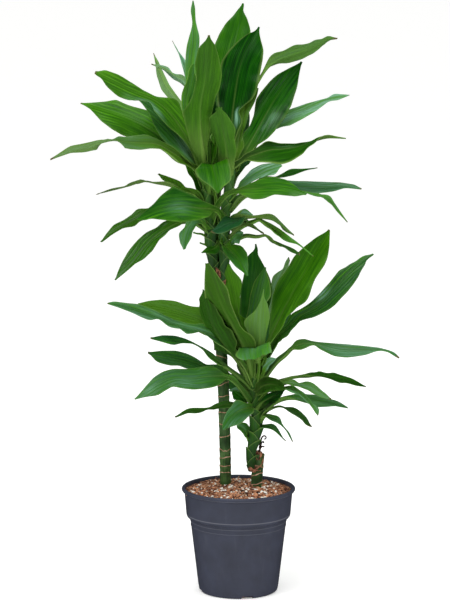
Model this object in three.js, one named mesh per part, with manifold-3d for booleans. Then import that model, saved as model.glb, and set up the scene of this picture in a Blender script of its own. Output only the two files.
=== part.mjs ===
// A potted corn plant: two rooted canes in one nursery pot. The tall cane carries two leafy shoots,
// the short one carries one. Millimetres, +Z up. The origin is the middle of the pot's flat base,
// and the plant is seen best from -Y.
import * as THREE from "three";
import { mergeVertices } from "three/addons/utils/BufferGeometryUtils.js";
import Module from "manifold-3d";

const wasm = await Module();
wasm.setup();

// ---- driving dimensions ----
const POT_HEIGHT = 196; // a 21 cm nursery pot
const RIM_RADIUS = 105.5;
const BASE_RADIUS = 73.5;
const WALL = 2;
const BEAD_RADIUS = 3.6; // rolled edge of the rim
const COLLAR_BOTTOM = 139; // underside of the wide band below the rim
const SLOT = { width: 22, height: 5, depth: 14, first: 13, count: 4 }; // drainage, angles in degrees
const FIT = 0.3; // clearance between neighbouring pieces
const SOIL_DROP = 9; // mix below the rim, at the wall
const SOIL_MOUND = 8; // rise of the mix towards the canes
const CANE_DEPTH = 62; // how far a cane stands in the mix
const TALL_CANE_RADIUS = 10.2;
const SHORT_CANE_RADIUS = 10.8;
const BLADE_THICKNESS = 1.0;
const STALK_THICKNESS = 3.0;
const EYE = [-25, -4360, 1190]; // viewpoint that the plant's points are given from

// A point of the plant is [across, up, back]: where it is seen in the upright plane through the
// pot's middle, and how far behind that plane it lies.
function lift([across, up, back]) {
  const k = 1 - back / EYE[1];
  return new THREE.Vector3(
    EYE[0] + (across - EYE[0]) * k,
    back,
    EYE[2] + (up - EYE[2]) * k,
  );
}

// ---- solids ----
function solidOf(geometry) {
  const bare = new THREE.BufferGeometry();
  bare.setAttribute("position", geometry.getAttribute("position"));
  bare.setIndex(geometry.getIndex());
  const merged = mergeVertices(bare, 1e-3);
  const mesh = new wasm.Mesh({
    numProp: 3,
    vertProperties: merged.getAttribute("position").array,
    triVerts: new Uint32Array(merged.getIndex().array),
  });
  return new wasm.Manifold(mesh);
}

function geometryOf(solid) {
  const mesh = solid.getMesh();
  const geometry = new THREE.BufferGeometry();
  geometry.setAttribute("position", new THREE.BufferAttribute(mesh.vertProperties, 3));
  geometry.setIndex(new THREE.BufferAttribute(mesh.triVerts, 1));
  geometry.computeVertexNormals();
  return geometry;
}

// The biggest body of a union: a sealed hollow is filled and a loose scrap is dropped.
function mainBody(solids) {
  const pieces = wasm.Manifold.union(solids).decompose();
  return pieces.reduce((best, piece) => (piece.volume() > best.volume() ? piece : best));
}

// A round stalk through centres, with a radius at each. The sides run from ring to ring.
function stalkGeometry(centres, radii, sides) {
  const positions = [];
  const index = [];
  const last = centres.length - 1;
  const side = new THREE.Vector3(1, 0, 0);
  centres.forEach((centre, i) => {
    const along = centres[Math.min(i + 1, last)].clone().sub(centres[Math.max(i - 1, 0)]).normalize();
    const back = along.clone().cross(side).normalize();
    const right = back.clone().cross(along);
    for (let j = 0; j < sides; j++) {
      const turn = (2 * Math.PI * j) / sides;
      const point = centre.clone();
      point.addScaledVector(right, radii[i] * Math.cos(turn));
      point.addScaledVector(back, radii[i] * Math.sin(turn));
      positions.push(point.x, point.y, point.z);
    }
  });
  const foot = centres.length * sides;
  const tip = foot + 1;
  positions.push(...centres[0].toArray(), ...centres[last].toArray());
  for (let j = 0; j < sides; j++) {
    const next = (j + 1) % sides;
    for (let i = 0; i < last; i++) {
      const a = i * sides + j;
      const b = i * sides + next;
      index.push(a, b, a + sides, b, b + sides, a + sides);
    }
    index.push(foot, next, j);
    index.push(tip, last * sides + j, last * sides + next);
  }
  const geometry = new THREE.BufferGeometry();
  geometry.setAttribute("position", new THREE.Float32BufferAttribute(positions, 3));
  geometry.setIndex(index);
  return geometry;
}

// A stalk given by [across, up, back, radius] rows, smoothed into a few more rings.
function shoot(rows, sides, rings) {
  const curve = new THREE.CatmullRomCurve3(rows.map(lift), false, "centripetal");
  const centres = [];
  const radii = [];
  for (let i = 0; i <= rings; i++) {
    const t = i / rings;
    const place = t * (rows.length - 1);
    const row = Math.min(Math.floor(place), rows.length - 2);
    centres.push(curve.getPoint(t));
    radii.push(THREE.MathUtils.lerp(rows[row][3], rows[row + 1][3], place - row));
  }
  return solidOf(stalkGeometry(centres, radii, sides));
}

// ---- leaves ----
// Share of a leaf's full width at s, from 0 at its foot to 1 at its tip: a sheath that clasps the
// shoot, a narrow channelled stalk, then a blade that is widest past its middle.
function leafWidth(s, stalk, widest) {
  const SHEATH = 0.3;
  const NECK = 0.2;
  const SWELL = 1.3; // how late the blade fills out
  const POINT = 0.85; // how blunt its tip is
  if (s < stalk) return THREE.MathUtils.lerp(SHEATH, NECK, s / stalk);
  const u = (s - stalk) / (1 - stalk);
  if (u < widest) return NECK + (1 - NECK) * Math.sin((Math.PI / 2) * (u / widest)) ** SWELL;
  return Math.cos((Math.PI / 2) * ((u - widest) / (1 - widest))) ** POINT;
}

// Direction across the blade at s. A face of 0 shows the viewer the leaf's upper side, 90 turns
// that side up and in towards the crown, and 180 shows the underside.
function acrossBlade(curve, faces, s) {
  const start = curve.getPointAt(0);
  const end = curve.getPointAt(1);
  const hand = end.x < start.x ? 1 : -1;
  const place = s * (faces.length - 1);
  const row = Math.min(Math.floor(place), faces.length - 2);
  const across = new THREE.Vector3();
  for (const [station, share] of [[row, row + 1 - place], [row + 1, place - row]]) {
    const at = station / (faces.length - 1);
    const along = curve.getTangentAt(at);
    const view = new THREE.Vector3(...EYE).sub(curve.getPointAt(at)).normalize();
    const flat = along.clone().cross(view).normalize();
    const facing = flat.clone().cross(along);
    const turn = THREE.MathUtils.degToRad(faces[station]);
    across.addScaledVector(flat, -Math.cos(turn) * share);
    across.addScaledVector(facing, Math.sin(turn) * hand * share);
  }
  const along = curve.getTangentAt(s);
  return across.addScaledVector(along, -across.dot(along)).normalize();
}

// The curve of a leaf that is seen to run through [across, up] points. It starts at depth back and
// reaches that much further from the viewer (or nearer, below zero) evenly along its seen length.
function midrib(path, back, reach) {
  const lengths = [0];
  for (let i = 1; i < path.length; i++) {
    lengths.push(lengths[i - 1] + Math.hypot(path[i][0] - path[i - 1][0], path[i][1] - path[i - 1][1]));
  }
  const depths = lengths.map((length) => back + (reach * length) / lengths.at(-1));
  const points = path.map(([across, up], i) => lift([across, up, depths[i]]));
  return new THREE.CatmullRomCurve3(points, false, "centripetal");
}

// One leaf as a closed blade with waved edges: three points across on its upper face and the same
// three on its underside, at stations along its midrib.
function leaf([, width, stalk, widest, wave, faces, back, reach, path, cut = 1], number) {
  const STATION = 36;
  const SMALLEST_HALF = 1.2;
  const OPENING = 0.35; // share of the length over which the channel opens into the blade
  const CHANNEL_RISE = 0.75; // rise of the edges over the midrib, as a share of the half width
  const BLADE_RISE = 0.22;
  const curve = midrib(path, back, reach);
  const steps = THREE.MathUtils.clamp(Math.round(curve.getLength() / STATION), 4, 7);
  const hand = number % 2 ? 1 : -1;
  const positions = [];
  const index = [];
  for (let i = 0; i <= steps; i++) {
    const s = i / steps;
    const along = curve.getTangentAt(s);
    const across = acrossBlade(curve, faces, s);
    const up = along.clone().cross(across);
    const half = Math.max((width / 2) * leafWidth(s * cut, stalk, widest), SMALLEST_HALF);
    const open = THREE.MathUtils.smoothstep(s, stalk, stalk + OPENING);
    const rise = half * THREE.MathUtils.lerp(CHANNEL_RISE, BLADE_RISE, open);
    const ripple = i < steps ? wave * open * hand * (i % 2 ? 1 : -1) : 0;
    const thickness = THREE.MathUtils.lerp(STALK_THICKNESS, BLADE_THICKNESS, open);
    for (const face of [0, -thickness]) {
      for (const t of [-1, 0, 1]) {
        const point = curve.getPointAt(s).addScaledVector(across, half * t);
        point.addScaledVector(up, face + Math.abs(t) * rise + t * ripple);
        positions.push(point.x, point.y, point.z);
      }
    }
  }
  for (let i = 0; i < steps; i++) {
    for (const [a, b] of [[0, 1], [1, 2], [2, 5], [5, 4], [4, 3], [3, 0]]) {
      const foot = i * 6;
      const next = foot + 6;
      if (a === 1 || b === 3) index.push(foot + a, next + a, foot + b, foot + b, next + a, next + b);
      else index.push(foot + a, next + a, next + b, foot + a, next + b, foot + b);
    }
  }
  const end = steps * 6;
  for (const [a, b, c] of [[0, 1, 4], [0, 4, 3], [1, 2, 5], [1, 5, 4]]) {
    index.push(a, b, c, end + a, end + c, end + b);
  }
  const geometry = new THREE.BufferGeometry();
  geometry.setAttribute("position", new THREE.Float32BufferAttribute(positions, 3));
  geometry.setIndex(index);
  return solidOf(geometry);
}

// ---- leaf tables ----
// Each leaf: name, full width, share of its length that is stalk, where along the blade it is widest,
// height of its edge waves, faces from foot to tip, depth of its foot, reach of its tip behind that,
// its midrib from foot to tip, and the share kept where its tip is cut off.
const LEFT_SHOOT_LEAVES = [
  ["spear", 38, 0.15, 0.5, 2, [50, 55], 30, 90, [[-66, 800], [-78, 885], [-86, 950], [-85, 1010],
    [-79, 1056], [-82, 1092]]],
  ["back_narrow", 36, 0.15, 0.55, 1, [70, 70], 28, 150, [[-68, 810], [-82, 880], [-92, 940],
    [-105, 990], [-120, 1020]]],
  ["back_short", 34, 0.15, 0.55, 3, [40, 50], 26, 70, [[-72, 815], [-90, 875], [-98, 915], [-92, 950],
    [-86, 970]]],
  ["back_pale", 34, 0.15, 0.55, 1, [115, 118], 30, 190, [[-72, 810], [-88, 870], [-102, 902],
    [-128, 928], [-143, 960], [-152, 997]]],
  ["back_curled", 30, 0.15, 0.55, 1, [110, 112], 34, 170, [[-70, 815], [-84, 885], [-97, 940],
    [-108, 957], [-140, 974], [-158, 977]]],
  ["front_tall", 66, 0.12, 0.6, 3, [160, 170], 14, -150, [[-62, 790], [-66, 850], [-66, 900],
    [-61, 960], [-56, 1028]]],
  ["front_bent", 68, 0.1, 0.55, 3, [180, 0], 18, -110, [[-58, 745], [-56, 785], [-50, 801], [-45, 793],
    [-40, 745]], 0.82],
  ["heart", 24, 0.2, 0.55, 1, [60, 60], 22, 20, [[-54, 760], [-51, 800], [-49, 845], [-51, 880]]],
  ["upper_left", 54, 0.15, 0.7, 4, [35, 40], 28, 130, [[-68, 785], [-88, 820], [-107, 850],
    [-130, 880], [-164, 907], [-212, 936], [-258, 964]]],
  ["long_left", 60, 0.12, 0.62, 4, [40, 38], 18, 40, [[-68, 778], [-92, 801], [-120, 824], [-150, 846],
    [-190, 873], [-240, 893], [-288, 907]]],
  ["dark_left", 46, 0.15, 0.55, 2, [40, 45], 24, 90, [[-68, 780], [-88, 808], [-110, 836], [-148, 880],
    [-188, 912]]],
  ["far_left", 38, 0.08, 0.45, 2, [45, 45, 118, 122], 14, -110, [[-66, 772], [-90, 790], [-118, 810],
    [-150, 822], [-190, 834], [-228, 840], [-280, 830], [-320, 819], [-343, 805]]],
  ["dark_riser", 44, 0.12, 0.55, 3, [60, 60], 16, 120, [[-60, 722], [-71, 745], [-81, 775], [-92, 804],
    [-110, 842]]],
  ["olive_left", 40, 0.15, 0.55, 2, [60, 60], 12, 70, [[-60, 722], [-80, 740], [-98, 750], [-122, 763],
    [-150, 779]]],
  ["thin_left", 32, 0.25, 0.55, 1, [68, 72, 108, 72], 20, 90, [[-60, 715], [-90, 742], [-125, 758],
    [-150, 762], [-173, 765], [-200, 757], [-230, 749], [-258, 742]]],
  ["crossing", 44, 0.36, 0.5, 3, [30, 20], 12, -110, [[-50, 690], [-38, 718], [-25, 737], [-8, 747],
    [5, 750], [30, 751], [60, 752], [90, 750], [118, 742]]],
  ["low_left", 36, 0.15, 0.62, 2, [60, 60], 10, -90, [[-60, 690], [-100, 705], [-165, 711],
    [-195, 691], [-225, 675], [-253, 654]]],
  ["arching_left", 46, 0.12, 0.55, 4, [40, 45], 8, -120, [[-60, 676], [-84, 690], [-112, 687],
    [-142, 668], [-172, 644], [-202, 612], [-226, 582]]],
  ["drooping", 36, 0.15, 0.55, 3, [30, 30], 8, -100, [[-56, 674], [-70, 689], [-84, 691], [-96, 676],
    [-100, 641]]],
  ["wrap", 16, 0.15, 0.55, 1, [30, 30], 12, -30, [[-44, 628], [-40, 642], [-50, 645], [-60, 640],
    [-68, 633]]],
  ["stub_high", 5, 0.9, 0.55, 0, [0, 0], 18, -10, [[-58, 663], [-68, 668], [-76, 669], [-83, 671]]],
  ["stub_low", 5, 0.9, 0.55, 0, [0, 0], 18, -10, [[-52, 642], [-60, 647], [-66, 649], [-72, 651]]],
  ["rear_high", 54, 0.12, 0.55, 3, [15, 10], 28, 200, [[-66, 790], [-74, 838], [-82, 878], [-88, 900]]],
  ["rear_low", 46, 0.12, 0.55, 3, [30, 20], 24, 170, [[-64, 750], [-88, 806], [-116, 840], [-140, 846]]],
];
const RIGHT_SHOOT_LEAVES = [
  ["top", 70, 0.12, 0.62, 3, [20, 15], 28, 150, [[-18, 790], [-22, 860], [-24, 925], [-14, 995],
    [-2, 1042], [8, 1087]]],
  ["dark_top", 80, 0.12, 0.65, 2, [15, 10], 22, 90, [[-12, 785], [-12, 850], [-5, 915], [12, 985],
    [36, 1045]]],
  ["olive_back", 46, 0.12, 0.55, 2, [170, 170], 26, 120, [[-8, 785], [0, 850], [6, 895], [12, 945]]],
  ["top_right", 48, 0.5, 0.42, 2, [130, 128], 30, 100, [[-8, 790], [5, 860], [18, 910], [38, 952],
    [78, 985], [120, 1000], [178, 1023]]],
  ["dark_right", 62, 0.12, 0.5, 3, [20, 15], 20, 110, [[-8, 785], [8, 820], [30, 855], [58, 905],
    [85, 945], [113, 985]]],
  ["folded_right", 36, 0.15, 0.55, 3, [45, 45], 24, 160, [[-6, 790], [30, 833], [60, 862], [85, 879],
    [120, 892], [165, 915], [201, 922]]],
  ["level_right", 50, 0.12, 0.42, 3, [35, 35, 60, 110], 16, -60, [[-10, 780], [15, 804], [40, 814],
    [74, 817], [106, 823], [133, 836], [160, 845], [195, 843]]],
  ["pale_right", 42, 0.12, 0.55, 4, [50, 50], 14, 50, [[-14, 732], [5, 752], [35, 775], [62, 789],
    [92, 798]]],
  ["narrow_right", 40, 0.2, 0.55, 2, [70, 70], 16, 100, [[-14, 740], [35, 768], [67, 775], [100, 783],
    [142, 789]]],
  ["far_right", 34, 0.2, 0.55, 2, [60, 58, 58], 16, -30, [[-16, 712], [0, 738], [40, 752], [90, 758],
    [150, 755], [209, 757], [232, 745]]],
  ["hanging_right", 28, 0.3, 0.55, 1, [65, 65], 22, 110, [[-16, 710], [12, 738], [60, 750], [110, 750],
    [142, 743], [165, 736], [180, 715], [197, 694]]],
  ["front_cut", 56, 0.1, 0.55, 3, [160, 165], 14, -90, [[-18, 760], [-20, 810], [-28, 850],
    [-36, 897]], 0.8],
  ["front_left", 70, 0.2, 0.52, 4, [25, 20], 10, -190, [[-24, 684], [-34, 706], [-44, 718], [-66, 718],
    [-100, 718], [-142, 711], [-186, 697]]],
  ["front_dark", 36, 0.25, 0.5, 2, [30, 30], 14, -70, [[-14, 674], [6, 686], [17, 691], [10, 695],
    [-8, 692], [-28, 684], [-51, 671]]],
  ["small_dark", 20, 0.15, 0.55, 1, [130, 125], 12, -80, [[-16, 662], [2, 680], [25, 684], [46, 671]]],
  ["humped", 32, 0.15, 0.55, 2, [120, 115], 14, -60, [[-14, 688], [-4, 702], [12, 709], [30, 703],
    [52, 699], [75, 688], [102, 667]]],
  ["stalked_right", 26, 0.35, 0.55, 2, [45, 40], 10, -40, [[-16, 676], [10, 690], [38, 694], [66, 678],
    [96, 659], [137, 627]]],
  ["thin_low_right", 20, 0.42, 0.55, 1, [60, 50], 12, 20, [[-18, 646], [5, 663], [30, 666], [52, 665],
    [80, 651], [106, 633]]],
  ["rounded", 28, 0.15, 0.55, 1, [40, 40], 16, -30, [[-22, 638], [-14, 655], [-4, 666], [8, 662]], 0.85],
  ["low_front", 38, 0.12, 0.55, 3, [20, 20], 14, -70, [[-26, 655], [-28, 642], [-16, 637], [0, 624],
    [14, 590]]],
  ["rear_high", 56, 0.12, 0.55, 3, [15, 10], 26, 210, [[-12, 785], [-8, 850], [-4, 900], [2, 925]]],
  ["rear_low", 42, 0.12, 0.55, 3, [30, 20], 24, 190, [[-14, 750], [8, 795], [38, 817], [60, 812]]],
];
const SHORT_SHOOT_LEAVES = [
  ["tall_front", 62, 0.12, 0.58, 3, [150, 150], 8, -130, [[28, 385], [8, 445], [-16, 495], [-38, 546],
    [-51, 588], [-60, 614]]],
  ["waved_left", 48, 0.12, 0.5, 5, [140, 140], 8, -90, [[26, 380], [2, 422], [-25, 460], [-54, 505],
    [-70, 552]]],
  ["tall_back", 34, 0.12, 0.55, 2, [160, 165], 10, -30, [[28, 415], [12, 460], [0, 510], [-6, 555],
    [-20, 613]]],
  ["dark_back", 54, 0.12, 0.55, 3, [25, 20], 12, 120, [[32, 425], [29, 510], [30, 590], [31, 650]]],
  ["centre", 46, 0.12, 0.55, 4, [45, 50], 6, 40, [[32, 430], [27, 505], [35, 560], [48, 607]]],
  ["young", 32, 0.15, 0.55, 1, [150, 150], 8, -10, [[34, 430], [42, 480], [45, 520], [44, 562]]],
  ["big_right", 66, 0.12, 0.6, 4, [20, 20], 6, 80, [[38, 425], [65, 487], [93, 545], [122, 597],
    [148, 643], [166, 676]]],
  ["glossy_right", 56, 0.12, 0.58, 3, [45, 45], 12, 120, [[38, 420], [68, 470], [100, 503], [152, 544],
    [202, 588], [248, 630]]],
  ["stalked_right", 40, 0.22, 0.55, 3, [60, 52, 88, 52, 60], 8, -70, [[36, 385], [72, 436], [100, 459],
    [136, 466], [190, 456], [250, 455], [275, 452], [296, 438]]],
  ["long_right", 34, 0.2, 0.55, 2, [62, 62], 12, 90, [[34, 365], [75, 396], [110, 404], [150, 405],
    [190, 398], [235, 384]]],
  ["olive_right", 28, 0.2, 0.55, 2, [60, 60], 6, -60, [[32, 355], [50, 375], [85, 392], [115, 391],
    [140, 384], [170, 362]]],
  ["twisted_right", 26, 0.25, 0.55, 1, [60, 65, 115, 60], 4, -50, [[32, 345], [60, 370], [90, 382],
    [107, 382], [120, 369], [135, 352], [147, 330]]],
  ["teal_right", 38, 0.15, 0.55, 2, [58, 58], 12, 80, [[31, 328], [70, 355], [110, 364], [150, 358],
    [201, 346]]],
  ["broad_front", 56, 0.12, 0.55, 4, [20, 20], 6, -150, [[31, 335], [40, 366], [54, 384], [70, 386],
    [87, 376]]],
  ["arching_right", 26, 0.2, 0.55, 1, [55, 55], 6, -60, [[31, 312], [60, 341], [85, 346], [108, 335],
    [135, 309]]],
  ["low_right", 18, 0.25, 0.55, 1, [45, 45], 8, -60, [[31, 306], [62, 325], [78, 317], [89, 302],
    [100, 281]]],
  ["lowest_right", 16, 0.2, 0.55, 1, [50, 50], 10, -30, [[28, 292], [44, 310], [60, 311], [73, 301],
    [87, 282]]],
  ["lowest_left", 18, 0.2, 0.55, 1, [40, 40], 8, -20, [[26, 286], [14, 307], [5, 314], [-5, 308]]],
  ["glaucous_front", 40, 0.12, 0.55, 3, [25, 25], 6, -90, [[30, 336], [20, 348], [6, 344], [-10, 328],
    [-27, 304]]],
  ["small_upper", 22, 0.2, 0.55, 1, [60, 60], 12, 10, [[29, 350], [17, 367], [-2, 374], [-19, 376]]],
  ["small_lower", 24, 0.2, 0.55, 1, [30, 30], 6, -20, [[28, 340], [18, 357], [4, 367], [-12, 376]]],
  ["thin_left", 26, 0.2, 0.55, 1, [60, 72, 108, 62], 6, -50, [[26, 335], [-15, 350], [-45, 347],
    [-75, 340], [-118, 328]]],
  ["big_left", 46, 0.12, 0.55, 4, [35, 33], 8, -110, [[29, 345], [12, 374], [-10, 394], [-32, 399],
    [-70, 398], [-115, 397], [-155, 383], [-193, 360]]],
  ["teal_left", 38, 0.15, 0.55, 2, [45, 45], 12, -40, [[27, 368], [5, 389], [-25, 405], [-55, 417],
    [-80, 427], [-110, 435], [-168, 449]]],
  ["stalked_left", 28, 0.5, 0.5, 2, [60, 52], 10, -90, [[27, 375], [15, 391], [-5, 411], [-30, 433],
    [-58, 455], [-80, 464], [-112, 472], [-164, 475]]],
  ["broad_left", 50, 0.15, 0.55, 4, [38, 38], 14, -30, [[28, 395], [10, 430], [-20, 468], [-50, 500],
    [-95, 522], [-140, 536], [-185, 538]]],
  ["long_left", 40, 0.15, 0.55, 2, [48, 42, 80, 42], 8, -90, [[27, 388], [10, 423], [-18, 456],
    [-45, 476], [-78, 487], [-115, 496], [-160, 519], [-205, 531], [-243, 540]]],
  ["front_bent", 64, 0.1, 0.55, 3, [180, 0], 6, -110, [[33, 390], [33, 435], [31, 458], [28, 455],
    [25, 432]], 0.8],
  ["back_pale", 30, 0.2, 0.55, 1, [118, 118], 18, 90, [[38, 425], [50, 500], [62, 560], [78, 596],
    [92, 625]]],
  ["rear_high", 52, 0.12, 0.55, 3, [10, 10], 12, 200, [[30, 400], [22, 470], [16, 530], [14, 562]]],
  ["rear_right", 48, 0.12, 0.55, 3, [20, 15], 12, 190, [[34, 405], [58, 475], [82, 525], [98, 542]]],
  ["rear_low", 32, 0.15, 0.55, 2, [15, 10], 12, 170, [[32, 335], [44, 372], [56, 386], [64, 374]]],
  ["rear_left", 36, 0.15, 0.55, 2, [25, 20], 14, 180, [[28, 345], [-2, 385], [-40, 402], [-80, 397]]],
];

// ---- shoots and canes: rows of [across, up, back, radius] ----
const LEFT_SHOOT = [
  [-37, 562, 28, 5], [-45, 585, 21, 8], [-48, 620, 18, 8.6], [-51, 648, 17, 9.4],
  [-57, 685, 18, 8.6], [-60, 735, 19, 9.4], [-65, 780, 21, 8], [-68, 815, 24, 3],
];
const RIGHT_SHOOT = [
  [-34, 556, 26, 5], [-28, 580, 20, 7.2], [-27, 615, 17, 8], [-25, 648, 17, 8.4],
  [-20, 690, 18, 8.4], [-17, 735, 19, 11.5], [-14, 775, 20, 11.5], [-12, 820, 24, 4],
];
const SHORT_SHOOT = [
  [26, 232, 8, 5], [22, 250, 2, 8.6], [27, 282, 2, 10.4], [31, 315, 4, 10.2],
  [32, 350, 6, 8.6], [30, 385, 8, 7.6], [32, 425, 9, 6.4], [34, 455, 10, 3],
];
const TALL_CANE = [
  [-24, 190, 32], [-24.5, 250, 32], [-26, 320, 32], [-28, 385, 32], [-31, 440, 32], [-33, 500, 31],
  [-36, 590, 30],
];
const SHORT_CANE = [[33, 190, 12], [35, 225, 13], [38, 256, 14]];
const TALL_SCARS = [214, 228, 246, 262, 287, 308, 332, 362, 384, 408, 436, 468, 500, 534, 566];
const SHORT_SCARS = [203, 219, 234];

// ---- pot ----
const POT_SIDES = 40;
const COLLAR_TOP_RADIUS = RIM_RADIUS - BEAD_RADIUS - 1.5;
const COLLAR_RADIUS = COLLAR_TOP_RADIUS - 3.4;
const BODY_RADIUS = COLLAR_RADIUS - 7;
const COLLAR_ROUND = 8; // height of the rounded step under the collar
const BEAD_FOOT = POT_HEIGHT - 2.4 * BEAD_RADIUS;
const BEAD_CENTRE = new THREE.Vector2(RIM_RADIUS - BEAD_RADIUS, POT_HEIGHT - BEAD_RADIUS);
const CORNER = 5; // rounding of the base's edge
const RINGS = { at: [125, 134], half: 1.5, proud: 0.5 }; // fine rings round the top of the body

// Outer radius of the tapered body, below the collar.
function bodyRadius(z) {
  return THREE.MathUtils.mapLinear(z, 0, COLLAR_BOTTOM, BASE_RADIUS, BODY_RADIUS);
}

// The pot's section, out and up from the middle of the base, round the bead and back down inside.
function potOutline() {
  const points = [[0, 0], [BASE_RADIUS - CORNER, 0]];
  points.push([BASE_RADIUS - CORNER * 0.3, CORNER * 0.3], [bodyRadius(CORNER), CORNER]);
  for (const z of RINGS.at) {
    points.push([bodyRadius(z - RINGS.half), z - RINGS.half]);
    points.push([bodyRadius(z) + RINGS.proud, z]);
    points.push([bodyRadius(z + RINGS.half), z + RINGS.half]);
  }
  points.push([BODY_RADIUS, COLLAR_BOTTOM]);
  points.push([COLLAR_RADIUS - COLLAR_ROUND * 0.2, COLLAR_BOTTOM + COLLAR_ROUND * 0.45]);
  points.push([COLLAR_RADIUS, COLLAR_BOTTOM + COLLAR_ROUND], [COLLAR_TOP_RADIUS, BEAD_FOOT]);
  for (let turn = -90; turn <= 180; turn += 45) {
    const angle = THREE.MathUtils.degToRad(turn);
    points.push([
      BEAD_CENTRE.x + BEAD_RADIUS * Math.cos(angle),
      BEAD_CENTRE.y + BEAD_RADIUS * Math.sin(angle),
    ]);
  }
  points.push([COLLAR_TOP_RADIUS - WALL, BEAD_FOOT]);
  points.push([COLLAR_RADIUS - WALL, COLLAR_BOTTOM + COLLAR_ROUND + 1]);
  points.push([BODY_RADIUS - WALL, COLLAR_BOTTOM], [bodyRadius(CORNER) - WALL, CORNER + WALL]);
  points.push([BASE_RADIUS - CORNER, WALL], [0, WALL]);
  return points.map(([radius, z]) => new THREE.Vector2(radius, z));
}

// One drainage slot, from below the base up into the foot of the wall, facing -Y.
function slotCutter() {
  const half = SLOT.width / 2;
  const CHAMFER = 2;
  const shape = new THREE.Shape();
  shape.moveTo(-half, -1).lineTo(half, -1).lineTo(half, SLOT.height - CHAMFER);
  shape.lineTo(half - CHAMFER, SLOT.height).lineTo(CHAMFER - half, SLOT.height);
  shape.lineTo(-half, SLOT.height - CHAMFER).closePath();
  const cutter = new THREE.ExtrudeGeometry(shape, { depth: SLOT.depth, bevelEnabled: false });
  return cutter.rotateX(Math.PI / 2).translate(0, SLOT.depth - BASE_RADIUS - 2, 0);
}

function potSolid() {
  let pot = solidOf(new THREE.LatheGeometry(potOutline(), POT_SIDES).rotateX(Math.PI / 2));
  for (let i = 0; i < SLOT.count; i++) {
    const turn = THREE.MathUtils.degToRad(SLOT.first + (360 / SLOT.count) * i);
    pot = pot.subtract(solidOf(slotCutter().rotateZ(turn)));
  }
  return pot;
}

// ---- potting mix ----
// Height of the mix: level at the wall, mounded to the canes, with lumps of a few millimetres.
function soilHeight(x, y) {
  const reach = Math.hypot(x, y) / (COLLAR_TOP_RADIUS - WALL);
  const broad = Math.sin(0.21 * x + 1.3) * Math.sin(0.19 * y + 0.4);
  const fine = 0.7 * Math.sin(0.43 * x - 0.37 * y);
  return POT_HEIGHT - SOIL_DROP + SOIL_MOUND * (1 - reach ** 2) + (broad + fine) * (1 - reach ** 4);
}

// The mix fills the pot: rings of its lumpy top from the middle outwards, then its wall down to the
// floor. Its corners lie on the same spokes as the pot's.
function mixSolid() {
  const TOP_RINGS = 6;
  const rim = COLLAR_TOP_RADIUS - WALL - FIT;
  const floor = WALL + FIT;
  const rows = [];
  for (let ring = 1; ring <= TOP_RINGS; ring++) rows.push([(rim * ring) / TOP_RINGS, null]);
  rows.push([COLLAR_RADIUS - WALL - FIT, COLLAR_BOTTOM + COLLAR_ROUND + 1]);
  rows.push([BODY_RADIUS - WALL - FIT, COLLAR_BOTTOM]);
  rows.push([bodyRadius(floor) - WALL - CORNER, floor]);
  const positions = [0, 0, soilHeight(0, 0)];
  const index = [];
  for (const [radius, z] of rows) {
    for (let j = 0; j < POT_SIDES; j++) {
      const turn = (2 * Math.PI * j) / POT_SIDES;
      const x = radius * Math.cos(turn);
      const y = radius * Math.sin(turn);
      positions.push(x, y, z ?? soilHeight(x, y));
    }
  }
  const floorCentre = positions.length / 3;
  positions.push(0, 0, floor);
  const foot = 1 + (rows.length - 1) * POT_SIDES;
  for (let j = 0; j < POT_SIDES; j++) {
    const next = (j + 1) % POT_SIDES;
    index.push(0, 1 + j, 1 + next);
    for (let row = 0; row < rows.length - 1; row++) {
      const a = 1 + row * POT_SIDES + j;
      const b = 1 + row * POT_SIDES + next;
      index.push(a, a + POT_SIDES, b, b, a + POT_SIDES, b + POT_SIDES);
    }
    index.push(foot + j, floorCentre, foot + next);
  }
  const geometry = new THREE.BufferGeometry();
  geometry.setAttribute("position", new THREE.Float32BufferAttribute(positions, 3));
  geometry.setIndex(index);
  return solidOf(geometry);
}

// ---- canes ----
const CANE_SIDES = 12;
const SCAR = { half: 2.2, proud: 0.5 };

function caneAlong(rows, heights, radii) {
  const curve = new THREE.CatmullRomCurve3(rows.map(lift), false, "centripetal");
  const foot = curve.getPoint(0).z;
  const top = curve.getPoint(1).z;
  const centres = heights.map((z) => {
    const place = curve.getPoint(THREE.MathUtils.clamp((z - foot) / (top - foot), 0, 1));
    return new THREE.Vector3(place.x, place.y, z);
  });
  return solidOf(stalkGeometry(centres, radii, CANE_SIDES));
}

// A cane standing in the mix, with a low ridge at each leaf scar.
function caneSolid(rows, radius, scars) {
  const foot = lift(rows[0]).z;
  const heights = [foot - CANE_DEPTH, foot];
  const radii = [radius - SCAR.proud, radius];
  for (const scar of scars) {
    heights.push(scar - SCAR.half, scar, scar + SCAR.half);
    radii.push(radius, radius + SCAR.proud, radius);
  }
  heights.push(lift(rows.at(-1)).z);
  radii.push(radius - SCAR.proud);
  return caneAlong(rows, heights, radii);
}

// The room that a cane takes up in what it stands in and in what grows from it.
function caneRoom(rows, radius) {
  const heights = rows.map((row) => lift(row).z);
  heights[heights.length - 1] += FIT;
  heights.unshift(heights[0] - CANE_DEPTH - FIT);
  return caneAlong(rows, heights, heights.map(() => radius + SCAR.proud + FIT));
}

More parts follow.
